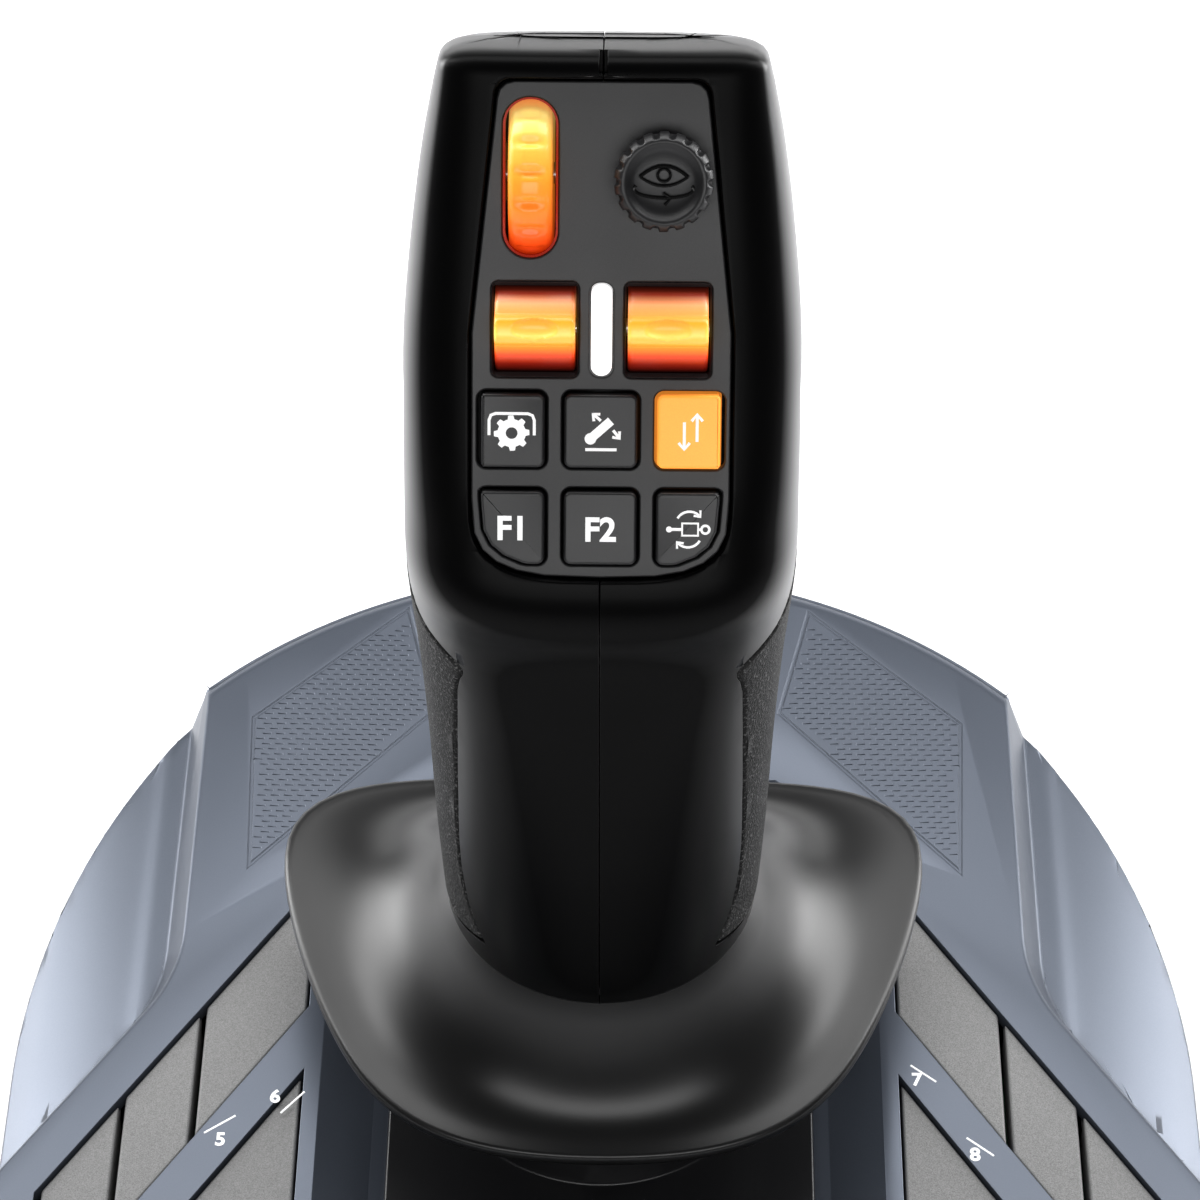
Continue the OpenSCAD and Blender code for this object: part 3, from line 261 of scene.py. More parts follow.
def arc(x, y, radius, start, end, count):
    return [(x + radius * cos(radians(start + (end - start) * i / count)),
             y + radius * sin(radians(start + (end - start) * i / count))) for i in range(count + 1)]


def circle(x, y, radius):
    return arc(x, y, radius, 0, 354.375, 63)


def smoothLine(points, steps):
    # points on a smooth curve through the given ones, with steps to each stretch
    out = []
    for i in range(len(points) - 1):
        a, b, c, d = (points[max(0, min(len(points) - 1, i + k))] for k in (-1, 0, 1, 2))
        for j in range(steps):
            t = j / steps
            out.append(tuple(0.5 * (2 * q + (r - p) * t + (2 * p - 5 * q + 4 * r - s) * t * t
                                    + (3 * q - p - 3 * r + s) * t ** 3) for p, q, r, s in zip(a, b, c, d)))
    return out + [tuple(points[-1])]


def ringStack(rings, loop=False):
    # the rings are bridged as a plain tube, point to point, and only then take their shapes
    bm = bmesh.new()
    loops, moves = [], []
    for level, ring in enumerate(rings):
        lift = Matrix.Translation((0, 0, level))
        verts = bmesh.ops.create_circle(bm, segments=len(ring), radius=1, matrix=lift)["verts"]
        loops.append(list({edge for vert in verts for edge in vert.link_edges}))
        moves += zip(verts, ring)
    for low, high in zip(loops, loops[1:]):
        bmesh.ops.bridge_loops(bm, edges=low + high)
    if loop:
        bmesh.ops.bridge_loops(bm, edges=loops[-1] + loops[0])
    else:
        for end in (loops[0], loops[-1]):
            bmesh.ops.contextual_create(bm, geom=end)
    for vert, point in moves:
        vert.co = Vector(point) * mm
    bm.normal_update()
    bmesh.ops.recalc_face_normals(bm, faces=bm.faces)
    return bm


def prism(points, low, high):
    return ringStack([[(x, y, low) for x, y in points], [(x, y, high) for x, y in points]])


def blockMesh(lowCorner, highCorner):
    bm = bmesh.new()
    size = Vector(highCorner) - Vector(lowCorner)
    middle = (Vector(highCorner) + Vector(lowCorner)) / 2
    bmesh.ops.create_cube(bm, size=mm, matrix=Matrix.Translation(middle * mm) @ Matrix.Diagonal(size).to_4x4())
    return bm


def place(bm, matrix):
    bmesh.ops.transform(bm, matrix=matrix, verts=bm.verts)
    return bm


def joined(*parts):
    whole = bmesh.new()
    for bm in parts:
        mesh = bpy.data.meshes.new("part")
        bm.to_mesh(mesh)
        whole.from_mesh(mesh)
        bpy.data.meshes.remove(mesh)
        bm.free()
    return whole


def mirrored(bm):
    copy = bm.copy()
    bmesh.ops.scale(copy, vec=(-1, 1, 1), verts=copy.verts)
    bmesh.ops.reverse_faces(copy, faces=copy.faces)
    return copy


def makeObject(name, bm):
    mesh = bpy.data.meshes.new(name)
    bm.to_mesh(mesh)
    bm.free()
    piece = bpy.data.objects.new(name, mesh)
    bpy.context.scene.collection.objects.link(piece)
    return piece


def bakeModifiers(piece):
    bpy.context.view_layer.update()
    done = bpy.data.meshes.new_from_object(piece.evaluated_get(bpy.context.evaluated_depsgraph_get()))
    old = piece.data
    piece.modifiers.clear()
    piece.data = done
    bpy.data.meshes.remove(old)


def combine(piece, operation, *tools):
    for tool in tools:
        bpy.context.view_layer.update()
        other = makeObject("tool", tool)
        cut = piece.modifiers.new("cut", "BOOLEAN")
        cut.solver = "MANIFOLD"
        cut.operation = operation
        cut.object = other
        bakeModifiers(piece)
        bpy.data.objects.remove(other)
    return piece


def takeMesh(piece):
    bm = bmesh.new()
    bm.from_mesh(piece.data)
    bpy.data.objects.remove(piece)
    return bm


def weldFaces(piece):
    bm = bmesh.new()
    bm.from_mesh(piece.data)
    bmesh.ops.remove_doubles(bm, verts=bm.verts, dist=0.01 * mm)
    bmesh.ops.dissolve_degenerate(bm, dist=0.01 * mm, edges=bm.edges)
    bm.to_mesh(piece.data)
    bm.free()


def finishPiece(piece, body, slotName, replaced=(), edge=0.0, segments=2, sharp=32, material=None, weld=0.004,
                flat=False):
    # names the finish, rounds the edges and sets the piece on its body
    bm = bmesh.new()
    bm.from_mesh(piece.data)
    bmesh.ops.remove_doubles(bm, verts=bm.verts, dist=weld * mm)
    bmesh.ops.dissolve_degenerate(bm, dist=weld * mm, edges=bm.edges)
    if flat:
        bmesh.ops.dissolve_limit(bm, angle_limit=radians(0.6), verts=bm.verts, edges=bm.edges)
    bmesh.ops.recalc_face_normals(bm, faces=bm.faces)
    bm.to_mesh(piece.data)
    bm.free()
    piece.data.materials.clear()
    piece.data.materials.append(material or finishes[slotName])
    for face in piece.data.polygons:
        face.use_smooth = True
    piece.data.set_sharp_from_angle(angle=radians(sharp))
    if edge:
        bevel = piece.modifiers.new("edges", "BEVEL")
        bevel.width = edge * mm
        bevel.segments = segments
        bevel.limit_method = "ANGLE"
        bevel.angle_limit = radians(sharp)
        bevel.use_clamp_overlap = False
        bevel.harden_normals = True
        bevel.loop_slide = False
    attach(piece, body)
    if replaced:
        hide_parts(*replaced)
    return piece


def nodeCopy(nodeName):
    bm = bmesh.new()
    bm.from_mesh(frame["nodes"][nodeName].data)
    bmesh.ops.remove_doubles(bm, verts=bm.verts, dist=0.002 * mm)
    return bm


base = {
    "radius": 100, "corner": 62, "deck": 46, "part": 20.4, "wall": 3,
    "plateau": 70, "bandWidth": 3.5, "bandHeight": 8, "rowAngle": 57,
    "shoulder": [(60, 8), (74, 8), (80, 10), (87.5, 13.2), (94, 16.8), (99, 20.4), (104, 24.4)],
    "rim": [(0.6, 20.4), (0.6, 43), (1.1, 44.7), (2.2, 45.7), (3.6, 46)],
    "lower": [(9, 2), (4.6, 3), (1.8, 6), (0.6, 11), (0, 20)],
    "channelHalf": 37, "channelFloor": 40, "channelSlope": 9,
}


def baseRing(inset, z):
    big, small = base["radius"] - inset, base["corner"] - inset
    middle = base["radius"] - base["corner"]
    points = arc(0, 0, big, 0, 180, 96) + arc(-middle, -middle, small, 180, 270, 30)
    points += arc(middle, -middle, small, 270, 360, 30)
    return [(x, y, z) for x, y in points]


def baseBody(profile, inset=0.0, drop=0.0, steps=3):
    return ringStack([baseRing(d + inset, z - drop) for d, z in smoothLine(profile, steps)])


def deckRing(out, z):
    # the raised deck's outline, grown outwards: a straight flank, a soft bend, then the slope along the keys
    slope = radians(base["rowAngle"])
    half = base["plateau"] + out
    bend = Vector((half, 7 + out * 0.5))
    start, end = bend + Vector((0, 9)), bend + 9 * Vector((cos(slope), -sin(slope)))
    side = [(half, 120)]
    for i in range(9):
        t = i / 8
        side.append(tuple(start * (1 - t) ** 2 + bend * 2 * t * (1 - t) + end * t * t))
    far = 104 + out
    side += [(far, bend.y - (far - half) * tan(slope)), (far, -120)]
    return [(x, y, z) for x, y in side] + [(-x, y, z) for x, y in reversed(side)]


def deckBody(inset):
    top = base["deck"] - inset
    pitch = base["bandWidth"] / base["bandHeight"]
    return ringStack([deckRing((top - 15) * pitch - inset, 15), deckRing(-inset, top)])


def shoulderBody(inset):
    side = [(x, base["deck"] - drop - inset) for x, drop in smoothLine(base["shoulder"], 5)]
    outline = [(104, 15)] + side[::-1] + [(-x, z) for x, z in side] + [(-104, 15)]
    return ringStack([[(x, y, z) for x, z in outline] for y in range(104, -105, -4)])


def roundEdges(piece, width, segments=3, sharp=32):
    bevel = piece.modifiers.new("round", "BEVEL")
    bevel.width = width * mm
    bevel.segments = segments
    bevel.limit_method = "ANGLE"
    bevel.angle_limit = radians(sharp)
    bevel.use_clamp_overlap = False
    bakeModifiers(piece)


def topBody(name, inset):
    piece = makeObject(name, deckBody(inset))
    combine(piece, "UNION", shoulderBody(inset))
    combine(piece, "INTERSECT", baseBody(base["rim"], inset, inset))
    return piece


def keyOutline(left, width, rear, length, grow=0.0):
    slope = tan(radians(base["rowAngle"]))
    points = []
    for x, sign in ((left - grow, 1), (left + width + grow, 1)):
        fall = (x - keys["inner"]) * slope
        points.append((x, rear + grow - fall, rear - grow - length - fall))
    (x0, a0, b0), (x1, a1, b1) = points
    return [(x0, a0), (x0, b0), (x1, b1), (x1, a1)]


keys = {"inner": 48.6, "first": 16.9, "next": 11.7, "length": 25.5, "upper": 26, "lower": -13, "gap": 0.45}


def channelRings():
    rings = []
    for share in (0, 0.93, 1.0):
        half = base["channelHalf"] + share * base["channelSlope"]
        z = base["channelFloor"] + share * 6.45
        grow = 6 * share
        points = [(-half, 30 + grow), (-half, -70 - 1.3 * grow), (-half + 16, -86 - 0.7 * grow),
                  (half - 16, -86 - 0.7 * grow), (half, -70 - 1.3 * grow), (half, 30 + grow),
                  (half - 16, 44 + grow), (-half + 16, 44 + grow)]
        rings.append([(x, y, z) for x, y in points])
    return rings


chevron = {"corners": [(62, 62.7), (60.4, 29.2), (29.8, 64.7), (35.6, 88.9)], "groove": 0.6, "depth": 0.25,
           "pitch": 2.3, "row": 1.15}


def insetOutline(points, amount):
    # each side of a small outline moves inwards by amount
    middle = sum((Vector(p) for p in points), Vector((0, 0))) / len(points)
    lines = []
    for i, point in enumerate(points):
        a, b = Vector(point), Vector(points[(i + 1) % len(points)])
        normal = Vector((-(b - a).y, (b - a).x)).normalized()
        if normal.dot(middle - a) < 0:
            normal = -normal
        lines.append((a + normal * amount, b - a))
    out = []
    for i in range(len(lines)):
        (p, u), (q, v) = lines[i - 1], lines[i]
        t = ((q - p).x * v.y - (q - p).y * v.x) / (u.x * v.y - u.y * v.x)
        out.append(tuple(p + u * t))
    return out


def makeBaseTop():
    shell = topBody("baseTopShell", 0.0)
    weldFaces(shell)
    roundEdges(shell, 0.55, 4, 24)
    combine(shell, "DIFFERENCE", takeMesh(topBody("cavity", base["wall"])))
    tub = prism([(-47, 46), (-47, -84), (-30, -93), (30, -93), (47, -84), (47, 46), (30, 52), (-30, 52)], 37, 45)
    combine(shell, "UNION", tub)
    combine(shell, "DIFFERENCE", ringStack(channelRings()))
    hole = prism(circle(0, -3.7, 30), 30, 60)
    slotHole = blockMesh((-13, -80, 30), (13, -36, 50))
    combine(shell, "DIFFERENCE", hole, slotHole)
    for rear, width in ((keys["upper"], keys["first"] + 2 * keys["next"]),
                        (keys["lower"], keys["first"] + keys["next"])):
        window = prism(keyOutline(keys["inner"], width, rear, keys["length"], keys["gap"]), 39, 52)
        tool = makeObject("window", window)
        combine(tool, "INTERSECT", prism([(x, y) for x, y, z in baseRing(8.6, 0)], 30, 60))
        half = takeMesh(tool)
        other = mirrored(half)
        combine(shell, "DIFFERENCE", half, other)
    inner = insetOutline(chevron["corners"], chevron["groove"])
    low = base["deck"] - chevron["depth"]
    groove = makeObject("groove", prism(chevron["corners"], low, 50))
    combine(groove, "DIFFERENCE", prism(inner, low - 1, 51))
    ring = takeMesh(groove)
    otherRing = mirrored(ring)
    combine(shell, "DIFFERENCE", ring, otherRing)
    combine(shell, "DIFFERENCE", blockMesh((-4.7, 86, 15.8), (4.7, 106, 22.2)))
    finishPiece(shell, "base", "base_shell", ["base_top_shell"], edge=0.15)


makeBaseTop()


def makeChevrons():
    corners = insetOutline(chevron["corners"], 1.3)
    middle = sum((Vector(p) for p in corners), Vector((0, 0))) / 4
    def inside(x, y):
        for i, corner in enumerate(corners):
            a, b = Vector(corner), Vector(corners[(i + 1) % 4])
            side = (b - a).cross(Vector((x, y)) - a)
            if side * (b - a).cross(middle - a) < 0:
                return False
        return True
    bm = bmesh.new()
    row = 0
    y = 28.0
    while y < 90:
        x = 28 + (row % 2) * chevron["pitch"] / 2
        while x < 64:
            if inside(x, y):
                spot = Matrix.Translation(Vector((x, y, base["deck"])) * mm) @ Matrix.Rotation(radians(8), 4, "Z")
                size = Matrix.Diagonal((1.75, 0.62, 0.26, 1)) @ Matrix.Scale(mm, 4)
                made = bmesh.ops.create_cube(bm, size=1, matrix=spot @ size)["verts"]
                top = [v for v in made if v.co.z > base["deck"] * mm]
                fromSpot = Matrix.Translation(-Vector((x, y, base["deck"])) * mm)
                bmesh.ops.scale(bm, vec=(0.8, 0.35, 1), space=fromSpot, verts=top)
            x += chevron["pitch"]
        y += chevron["row"]
        row += 1
    other = mirrored(bm)
    for name, half in (("right", bm), ("left", other)):
        finishPiece(makeObject(f"chevron_{name}", half), "base", "base_shell")


makeChevrons()


def makeBaseBottom():
    shell = makeObject("baseBottomShell", baseBody(base["lower"], steps=4))
    hollow = baseBody([(8.4, 5), (6.2, 8), (5.4, 11), (5, 21)], 0, 0, 2)
    combine(shell, "DIFFERENCE", hollow)
    combine(shell, "DIFFERENCE", blockMesh((-4.7, 86, 15.8), (4.7, 106, 22.2)))
    for x, y in ((-56, 46), (56, 46), (-62, -58), (62, -58), (0, 80)):
        combine(shell, "DIFFERENCE", prism(circle(x, y, 9.3), -1, 2.8))
    finishPiece(shell, "base", "base_lower", ["base_bottom_shell"], edge=0.3)


makeBaseBottom()
print("base shells made")

for side in ("left", "right"):
    for number in range(1, 6):
        nodeName = f"base_key_{side}_{number}"
        finishPiece(makeObject(f"baseKey_{side}_{number}", nodeCopy(nodeName)), nodeName, "base_key", [nodeName],
                    edge=0.5, segments=3, flat=True)
finishPiece(makeObject("console", nodeCopy("console_panel")), "base", "console", ["console_panel"], edge=0.5,
            segments=3, sharp=40, flat=True)
print("base keys and console made")


skirt = {
    "middle": -3.7, "seam": 86, "rim": 67, "foot": 24, "thick": 2.2, "fall": 2.6,
    "reach": [(90, 36.2), (8, 59.2), (172, 59.2), (-28, 46.3), (208, 46.3), (-62, 66.8), (242, 66.8), (270, 40)],
}


def rimReach(turn):
    total = sum((max(0.0, cos(radians(turn - a))) / d) ** 5 for a, d in skirt["reach"])
    return total ** -0.2


def skirtRing(share, z, inset):
    ring = []
    for i in range(120):
        turn = 3 * i
        radius = skirt["foot"] + (rimReach(turn) - skirt["foot"]) * share - inset
        ring.append((radius * cos(radians(turn)), skirt["middle"] + radius * sin(radians(turn)), z))
    return ring


def makeSkirt():
    top = skirt["seam"] - 0.3
    drop = top - skirt["rim"]
    def height(share):
        return skirt["rim"] + drop * (1 - share) ** skirt["fall"] + 0.2
    shares = [i / 22 * 0.95 for i in range(23)]
    rings = [skirtRing(0, skirt["seam"] - 4, 2.2), skirtRing(0, top - 0.3, 2.2), skirtRing(0, top, 1.9),
             skirtRing(0, top + 0.1, 0.3)]
    rings += [skirtRing(share, height(share), 0) for share in shares[1:]]
    rim = skirt["rim"]
    for share, z in ((0.972, 0.12), (0.988, -0.12), (0.998, -0.55), (1, -1.1), (0.996, -1.65), (0.985, -2.05),
                     (0.97, -2.2)):
        rings.append(skirtRing(share, rim + z, 0))
    rings += [skirtRing(share, height(share) - skirt["thick"], 1.5 if share < 0.3 else 0.3)
              for share in reversed(shares[1:])]
    finishPiece(makeObject("skirt", ringStack(rings, loop=True)), "stick", "skirt", ["skirt"], sharp=50)


makeSkirt()
print("skirt made")


onPanel = Matrix.Translation((0, panelFoot[0] * mm, panelFoot[1] * mm)) @ Matrix.Rotation(panelTilt, 4, "X")


def onFace(up, out):
    # y and z of the point up the panel's middle line and out of its face
    return (panelFoot[0] + up * cos(panelTilt) - out * sin(panelTilt),
            panelFoot[1] + up * sin(panelTilt) + out * cos(panelTilt))


handle = {  # front y and z, back y and z, half width, roundness of the front and of the back
    "neck": [
        (-27.7, 86, 20.3, 86, 24, 2, 2), (-27.4, 91, 21, 92, 24.4, 2, 2), (-25.8, 104, 21.6, 108, 25.1, 2.1, 2.1),
        (-23.8, 122, 22.6, 126, 25.7, 2.2, 2.2), (-21.8, 140, 24.6, 140, 26.6, 2.4, 2.3),
        (-20.2, 154, 27.4, 150, 27.6, 2.8, 2.4)],
    "head": [  # up the panel, out of its face, then as above from the back
        (-6, 0.6, 29.6, 157, 28, 3.2, 2.5), (3, 1.2, 32.4, 163, 28, 3.6, 2.6), (14, 1.2, 36.4, 170.5, 28, 4, 2.6),
        (28, 1.2, 40.5, 181, 27.9, 4, 2.6), (42, 1.2, 43.6, 192, 26.8, 4, 2.7), (54, 1.2, 44.8, 202, 25.4, 4, 2.8),
        (64, 1.2, 44, 211, 23.8, 4, 2.9), (69.4, 1.2, 41.6, 216.4, 22.8, 4, 3)],
    "wall": 2.4, "seam": 0.05,
}


def handleSections():
    rows = handle["neck"] + [(*onFace(row[0], row[1]), *row[2:]) for row in handle["head"]]
    return smoothLine(rows, 5)


def handleRing(section, inset, lift=0.0):
    frontY, frontZ, backY, backZ, half, frontRound, backRound = section
    front, back = Vector((frontY, frontZ)), Vector((backY, backZ))
    middle, along = (front + back) / 2, (back - front).normalized()
    reach = (back - front).length / 2 - inset
    ring = []
    for i in range(96):
        turn = radians(3.75 * i)
        power = 2 / (frontRound if sin(turn) < 0 else backRound)
        across = (half - inset) * abs(cos(turn)) ** power * (1 if cos(turn) > 0 else -1)
        depth = reach * abs(sin(turn)) ** power * (1 if sin(turn) > 0 else -1)
        y, z = middle + along * depth + Vector((-along.y, along.x)) * lift
        ring.append((across, y, z))
    return ring


def handleSkin(inset=0.0):
    sections = handleSections()
    rings = [handleRing(section, inset) for section in sections]
    last = sections[-1]
    for closer, lift in ((0.25, 0.8), (0.8, 1.5), (1.8, 2.1), (3.4, 2.6), (6.5, 3.0), (11, 3.2)):
        rings.append(handleRing(last, inset + closer, lift))
    return ringStack(rings)


def panelOutline(grow=0.0):
    wide, narrow, top, corner = 17.8 + grow, 14.4 + grow, 68.3 + grow, 2.4
    points = []
    for i in range(25):
        turn = radians(180 + 7.5 * i)
        points.append((wide * abs(cos(turn)) ** 0.62 * (1 if cos(turn) > 0 else -1),
                       11 - (11 + grow) * abs(sin(turn)) ** 0.62))
    points.append((wide, 34))
    points += arc(narrow - corner, top - corner, corner, 0, 90, 8)
    points += arc(-narrow + corner, top - corner, corner, 90, 180, 8)
    points.append((-wide, 34))
    return points


padEdge = [(-20, 90.8), (-17, 98), (-15.4, 110), (-15.2, 130), (-15.6, 145), (-16.4, 150), (-14.2, 152.4),
           (-10, 154.4), (-5, 157), (2, 159.2), (10, 160), (16, 158), (19.5, 150), (19, 130), (18.5, 110),
           (17.4, 98), (12, 90.5), (3, 88.6), (-6, 88.4), (-14, 88.8)]


sideways = Matrix(((0, 0, 1, 0), (1, 0, 0, 0), (0, 1, 0, 0), (0, 0, 0, 1)))  # a prism then grows along X


def padRegion(shrink=0.0):
    loop = smoothLine(padEdge + padEdge[:1], 3)[:-1]
    middle = Vector((3, 124))
    points = [tuple(middle + (Vector(p) - middle) * (1 - shrink / 30)) for p in loop]
    return place(prism(points, 8, 38), sideways)


def makeHandle():
    for name, sign in (("left", -1), ("right", 1)):
        def sided(bm):
            return bm if sign > 0 else mirrored(bm)
        half = makeObject(f"handle_{name}", handleSkin())
        combine(half, "DIFFERENCE", place(prism(panelOutline(0.35), -2.2, 12), onPanel))
        roundEdges(half, 0.35, 3, 50)
        combine(half, "INTERSECT", sided(blockMesh((handle["seam"], -60, 80), (60, 90, 260))))
        hollow = makeObject("hollow", handleSkin(handle["wall"]))
        combine(hollow, "INTERSECT", blockMesh((-60, -60, 90), (60, 90, 214)))
        combine(half, "DIFFERENCE", takeMesh(hollow))
        combine(half, "DIFFERENCE", place(prism(panelOutline(-1.2), -16, 2), onPanel))
        recess = makeObject("recess", padRegion())
        combine(recess, "DIFFERENCE", handleSkin(1.3))
        combine(half, "DIFFERENCE", sided(takeMesh(recess)))
        combine(half, "DIFFERENCE", blockMesh((-5.6, 12, 147.5), (5.6, 52, 171.5)))
        combine(half, "DIFFERENCE", sided(place(prism(circle(9.8, 180.7, 3.4), 24.8, 45), sideways)))
        combine(half, "DIFFERENCE", prism(circle(0, -3.7, 13.05), 80, 96))
        notch = place(blockMesh((-0.55, 69.2, -1.6), (0.55, 90, 12)), onPanel)
        combine(half, "DIFFERENCE", notch)
        finishPiece(half, "handle", "handle", [f"handle_{name}"], edge=0.12, sharp=38)
        pad = makeObject(f"gripPad_{name}", padRegion(0.5))
        combine(pad, "DIFFERENCE", handleSkin(1.3))
        combine(pad, "INTERSECT", handleSkin(-0.15))
        if sign < 0:
            flipped = bmesh.new()
            flipped.from_mesh(pad.data)
            flipped = mirrored(flipped)
            flipped.to_mesh(pad.data)
            flipped.free()
        finishPiece(pad, "handle", "grip_rubber", [f"grip_pad_{name}"], edge=0.3, sharp=38)


makeHandle()
print("handle made")


def finishCopy(nodeName, pieceName, body, edge, segments=2, sharp=35, material=None):
    return finishPiece(makeObject(pieceName, nodeCopy(nodeName)), body, slotOf[nodeName], [nodeName], edge=edge,
                       segments=segments, sharp=sharp, material=material, flat=True)


finishCopy("control_panel", "controlPanel", "handle", 0.3, 3)
for number in range(1, 7):
    finishCopy(f"panel_key_{number}", f"panelKey_{number}", f"panel_key_{number}", 0.45, 3)
finishCopy("light_bar", "lightBar", "handle", 0.3, 3)
finishCopy("trigger", "triggerLever", "trigger", 0.8, 4)
finishCopy("throttle_slider", "throttleSlider", "throttle", 0.3, 2)
print("panel and keys made")

wheel = {"place": (-9.8, 55.2, -8.2), "radius": 12.2, "width": 6, "dimples": 18, "dimple": 0.75}


def makeWheel():
    half = wheel["width"] / 2
    edge = [(-half, 0), (-half + 0.25, 0.9), (-half + 0.9, 1.45), (-half + 1.8, 1.7), (-1, 1.8), (-0.5, 1.82),
            (0, 1.83)]
    profile = edge + [(-x, r) for x, r in reversed(edge[:-1])]
    rings = [[(-half, 1.6 * cos(t * pi / 108), 1.6 * sin(t * pi / 108)) for t in range(216)]]
    for x, rise in profile:
        ring = []
        for t in range(216):
            turn = t * pi / 108
            wave = max(0.0, cos(wheel["dimples"] * turn - 1.6)) ** 1.5
            dent = wheel["dimple"] * wave * max(0.0, 1 - (x / 2.1) ** 2)
            radius = wheel["radius"] - 1.83 + rise - dent
            ring.append((x, radius * cos(turn), radius * sin(turn)))
        rings.append(ring)
    rings.append([(half, y, z) for _, y, z in rings[0]])
    bm = place(ringStack(rings, loop=True), onPanel @ Matrix.Translation(Vector(wheel["place"]) * mm))
    finishPiece(makeObject("thumbWheel", bm), "thumb_wheel", "orange_roller", ["thumb_wheel"], sharp=60,
                material=orangeWheel)


makeWheel()

roller = {"across": 9.1, "up": 34.5, "deep": -3.6, "radius": 6.4, "half": 5.5, "ridge": 1.3}


def makeRoller(name, sign):
    rings = []
    ends = [(5.5, -0.7), (5.42, -0.35), (5.2, -0.1), (4.9, 0)]
    stations = [(-x, d) for x, d in ends] + [(x / 4, 0) for x in range(-18, 19)] + [(x, d) for x, d in reversed(ends)]
    for x, drop in stations:
        ring = []
        for i in range(180):
            turn = 2 * i
            away = (turn - 88) / 19
            bump = roller["ridge"] * max(0.0, 1 - abs(away) ** 3.2) ** 0.7 if abs(away) < 1 else 0
            lens = max(0.0, 1 - (x / 3.1) ** 2 - ((turn - 86) / 11) ** 2) ** 0.7
            radius = roller["radius"] - 0.2 + drop + bump - 1.0 * lens
            ring.append((x, radius * cos(radians(turn)), radius * sin(radians(turn))))
        rings.append(ring)
    bore = [(0, 1.3 * cos(radians(2 * i)), 1.3 * sin(radians(2 * i))) for i in range(180)]
    rings.insert(0, [(-roller["half"], y, z) for _, y, z in bore])
    rings.append([(roller["half"], y, z) for _, y, z in bore])
    spot = Vector((sign * roller["across"], roller["up"], roller["deep"])) * mm
    bm = place(ringStack(rings, loop=True), onPanel @ Matrix.Translation(spot))
    finishPiece(makeObject(f"roller_{name}", bm), f"roller_{name}", "orange_roller", [f"roller_{name}"], sharp=60)


makeRoller("left", -1)
makeRoller("right", 1)


def roundedBox(halfWide, halfTall, corner, x, y, count=6):
    points = []
    for cx, cy, start in ((1, 1, 0), (-1, 1, 90), (-1, -1, 180), (1, -1, 270)):
        points += arc(x + cx * (halfWide - corner), y + cy * (halfTall - corner), corner, start, start + 90, count)
    return points


def makeLipsAndPaintedGlow():
    # the sloped lips of the roller windows, and a sheet in the wheel's slot with a painted red glow, standing for
    # light spilled from the wheel
    for name, sign in (("left", -1), ("right", 1)):
        x, y = sign * roller["across"], roller["up"]
        outer, inner = roundedBox(5.95, 6.55, 0.9, x, y), roundedBox(5.72, 5.95, 0.3, x, y)
        rings = [[(*p, z) for p in loop] for loop, z in ((outer, -2.1), (outer, -0.05), (inner, -0.8), (inner, -2.1))]
        bm = place(ringStack(rings, loop=True), onPanel)
        finishPiece(makeObject(f"rollerLip_{name}", bm), "handle", "panel", edge=0.08, material=finishes["panel"])
    x, y, _ = wheel["place"]
    outer, inner = roundedBox(3.76, 10.86, 3.66, x, y, 10), roundedBox(3.45, 10.6, 3.4, x, y, 10)
    rings = [[(*p, z) for p in loop] for loop, z in ((outer, -2.1), (outer, -0.15), (inner, -0.25), (inner, -2.1))]
    finishPiece(makeObject("wheelSlotPaintedGlow", place(ringStack(rings, loop=True), onPanel)), "handle", "panel",
                material=paintedRedGlow)


makeLipsAndPaintedGlow()

knob = {"place": (8.3, 55.1, -6.2), "radius": 6.75, "notches": 18}


def makeKnob():
    def toothed(radius, z, depth):
        ring = []
        for i in range(216):
            turn = 2 * pi * i / 216
            cutIn = depth * max(0.0, cos(knob["notches"] * turn)) ** 0.7
            ring.append(((radius - cutIn) * cos(turn), (radius - cutIn) * sin(turn), z))
        return ring
    r = knob["radius"]
    profile = [(2.2, -1.1, 0), (2.2, 7.6, 0), (4.6, 8.2, 0), (r - 0.8, 8.35, 0), (r - 0.2, 8.7, 0.1), (r, 9.1, 0.55),
               (r, 10.1, 0.65), (r - 0.15, 10.6, 0.6), (r - 0.5, 11.1, 0.3), (r - 0.85, 11.5, 0.05),
               (r - 1.1, 11.62, 0), (r - 1.35, 11.62, 0), (r - 1.7, 11.4, 0), (r - 2.1, 10.95, 0),
               (r - 2.8, 10.6, 0), (r - 4, 10.35, 0), (1, 10.25, 0)]
    rings = [toothed(*row) for row in profile]
    bm = place(ringStack(rings), onPanel @ Matrix.Translation(Vector(knob["place"]) * mm))
    finishPiece(makeObject("cameraKnob", bm), "camera_knob", "panel_key", ["camera_knob"], sharp=50)


makeKnob()
print("wheel, rollers and knob made")


def curveMesh(data):
    holder = bpy.data.objects.new("curve", data)
    bpy.context.scene.collection.objects.link(holder)
    bpy.context.view_layer.update()
    mesh = bpy.data.meshes.new_from_object(holder.evaluated_get(bpy.context.evaluated_depsgraph_get()))
    bpy.data.objects.remove(holder)
    bm = bmesh.new()
    bm.from_mesh(mesh)
    bpy.data.meshes.remove(mesh)
    return bm


def stroke(points, width, height=0.05, closed=False):
    # a thin flat line through the points, in mm
    data = bpy.data.curves.new("stroke", "CURVE")
    data.dimensions = "3D"
    data.bevel_depth = width / 2
    data.bevel_resolution = 2
    data.use_fill_caps = True
    line = data.splines.new("POLY")
    line.points.add(len(points) - 1)
    for point, (x, y) in zip(line.points, points):
        point.co = (x, y, 0, 1)
    line.use_cyclic_u = closed
    bm = curveMesh(data)
    bmesh.ops.scale(bm, vec=(mm, mm, mm * 2 * height / width), verts=bm.verts)
    return bm


def patch(points, height=0.05):
    return prism(points, -height, height)


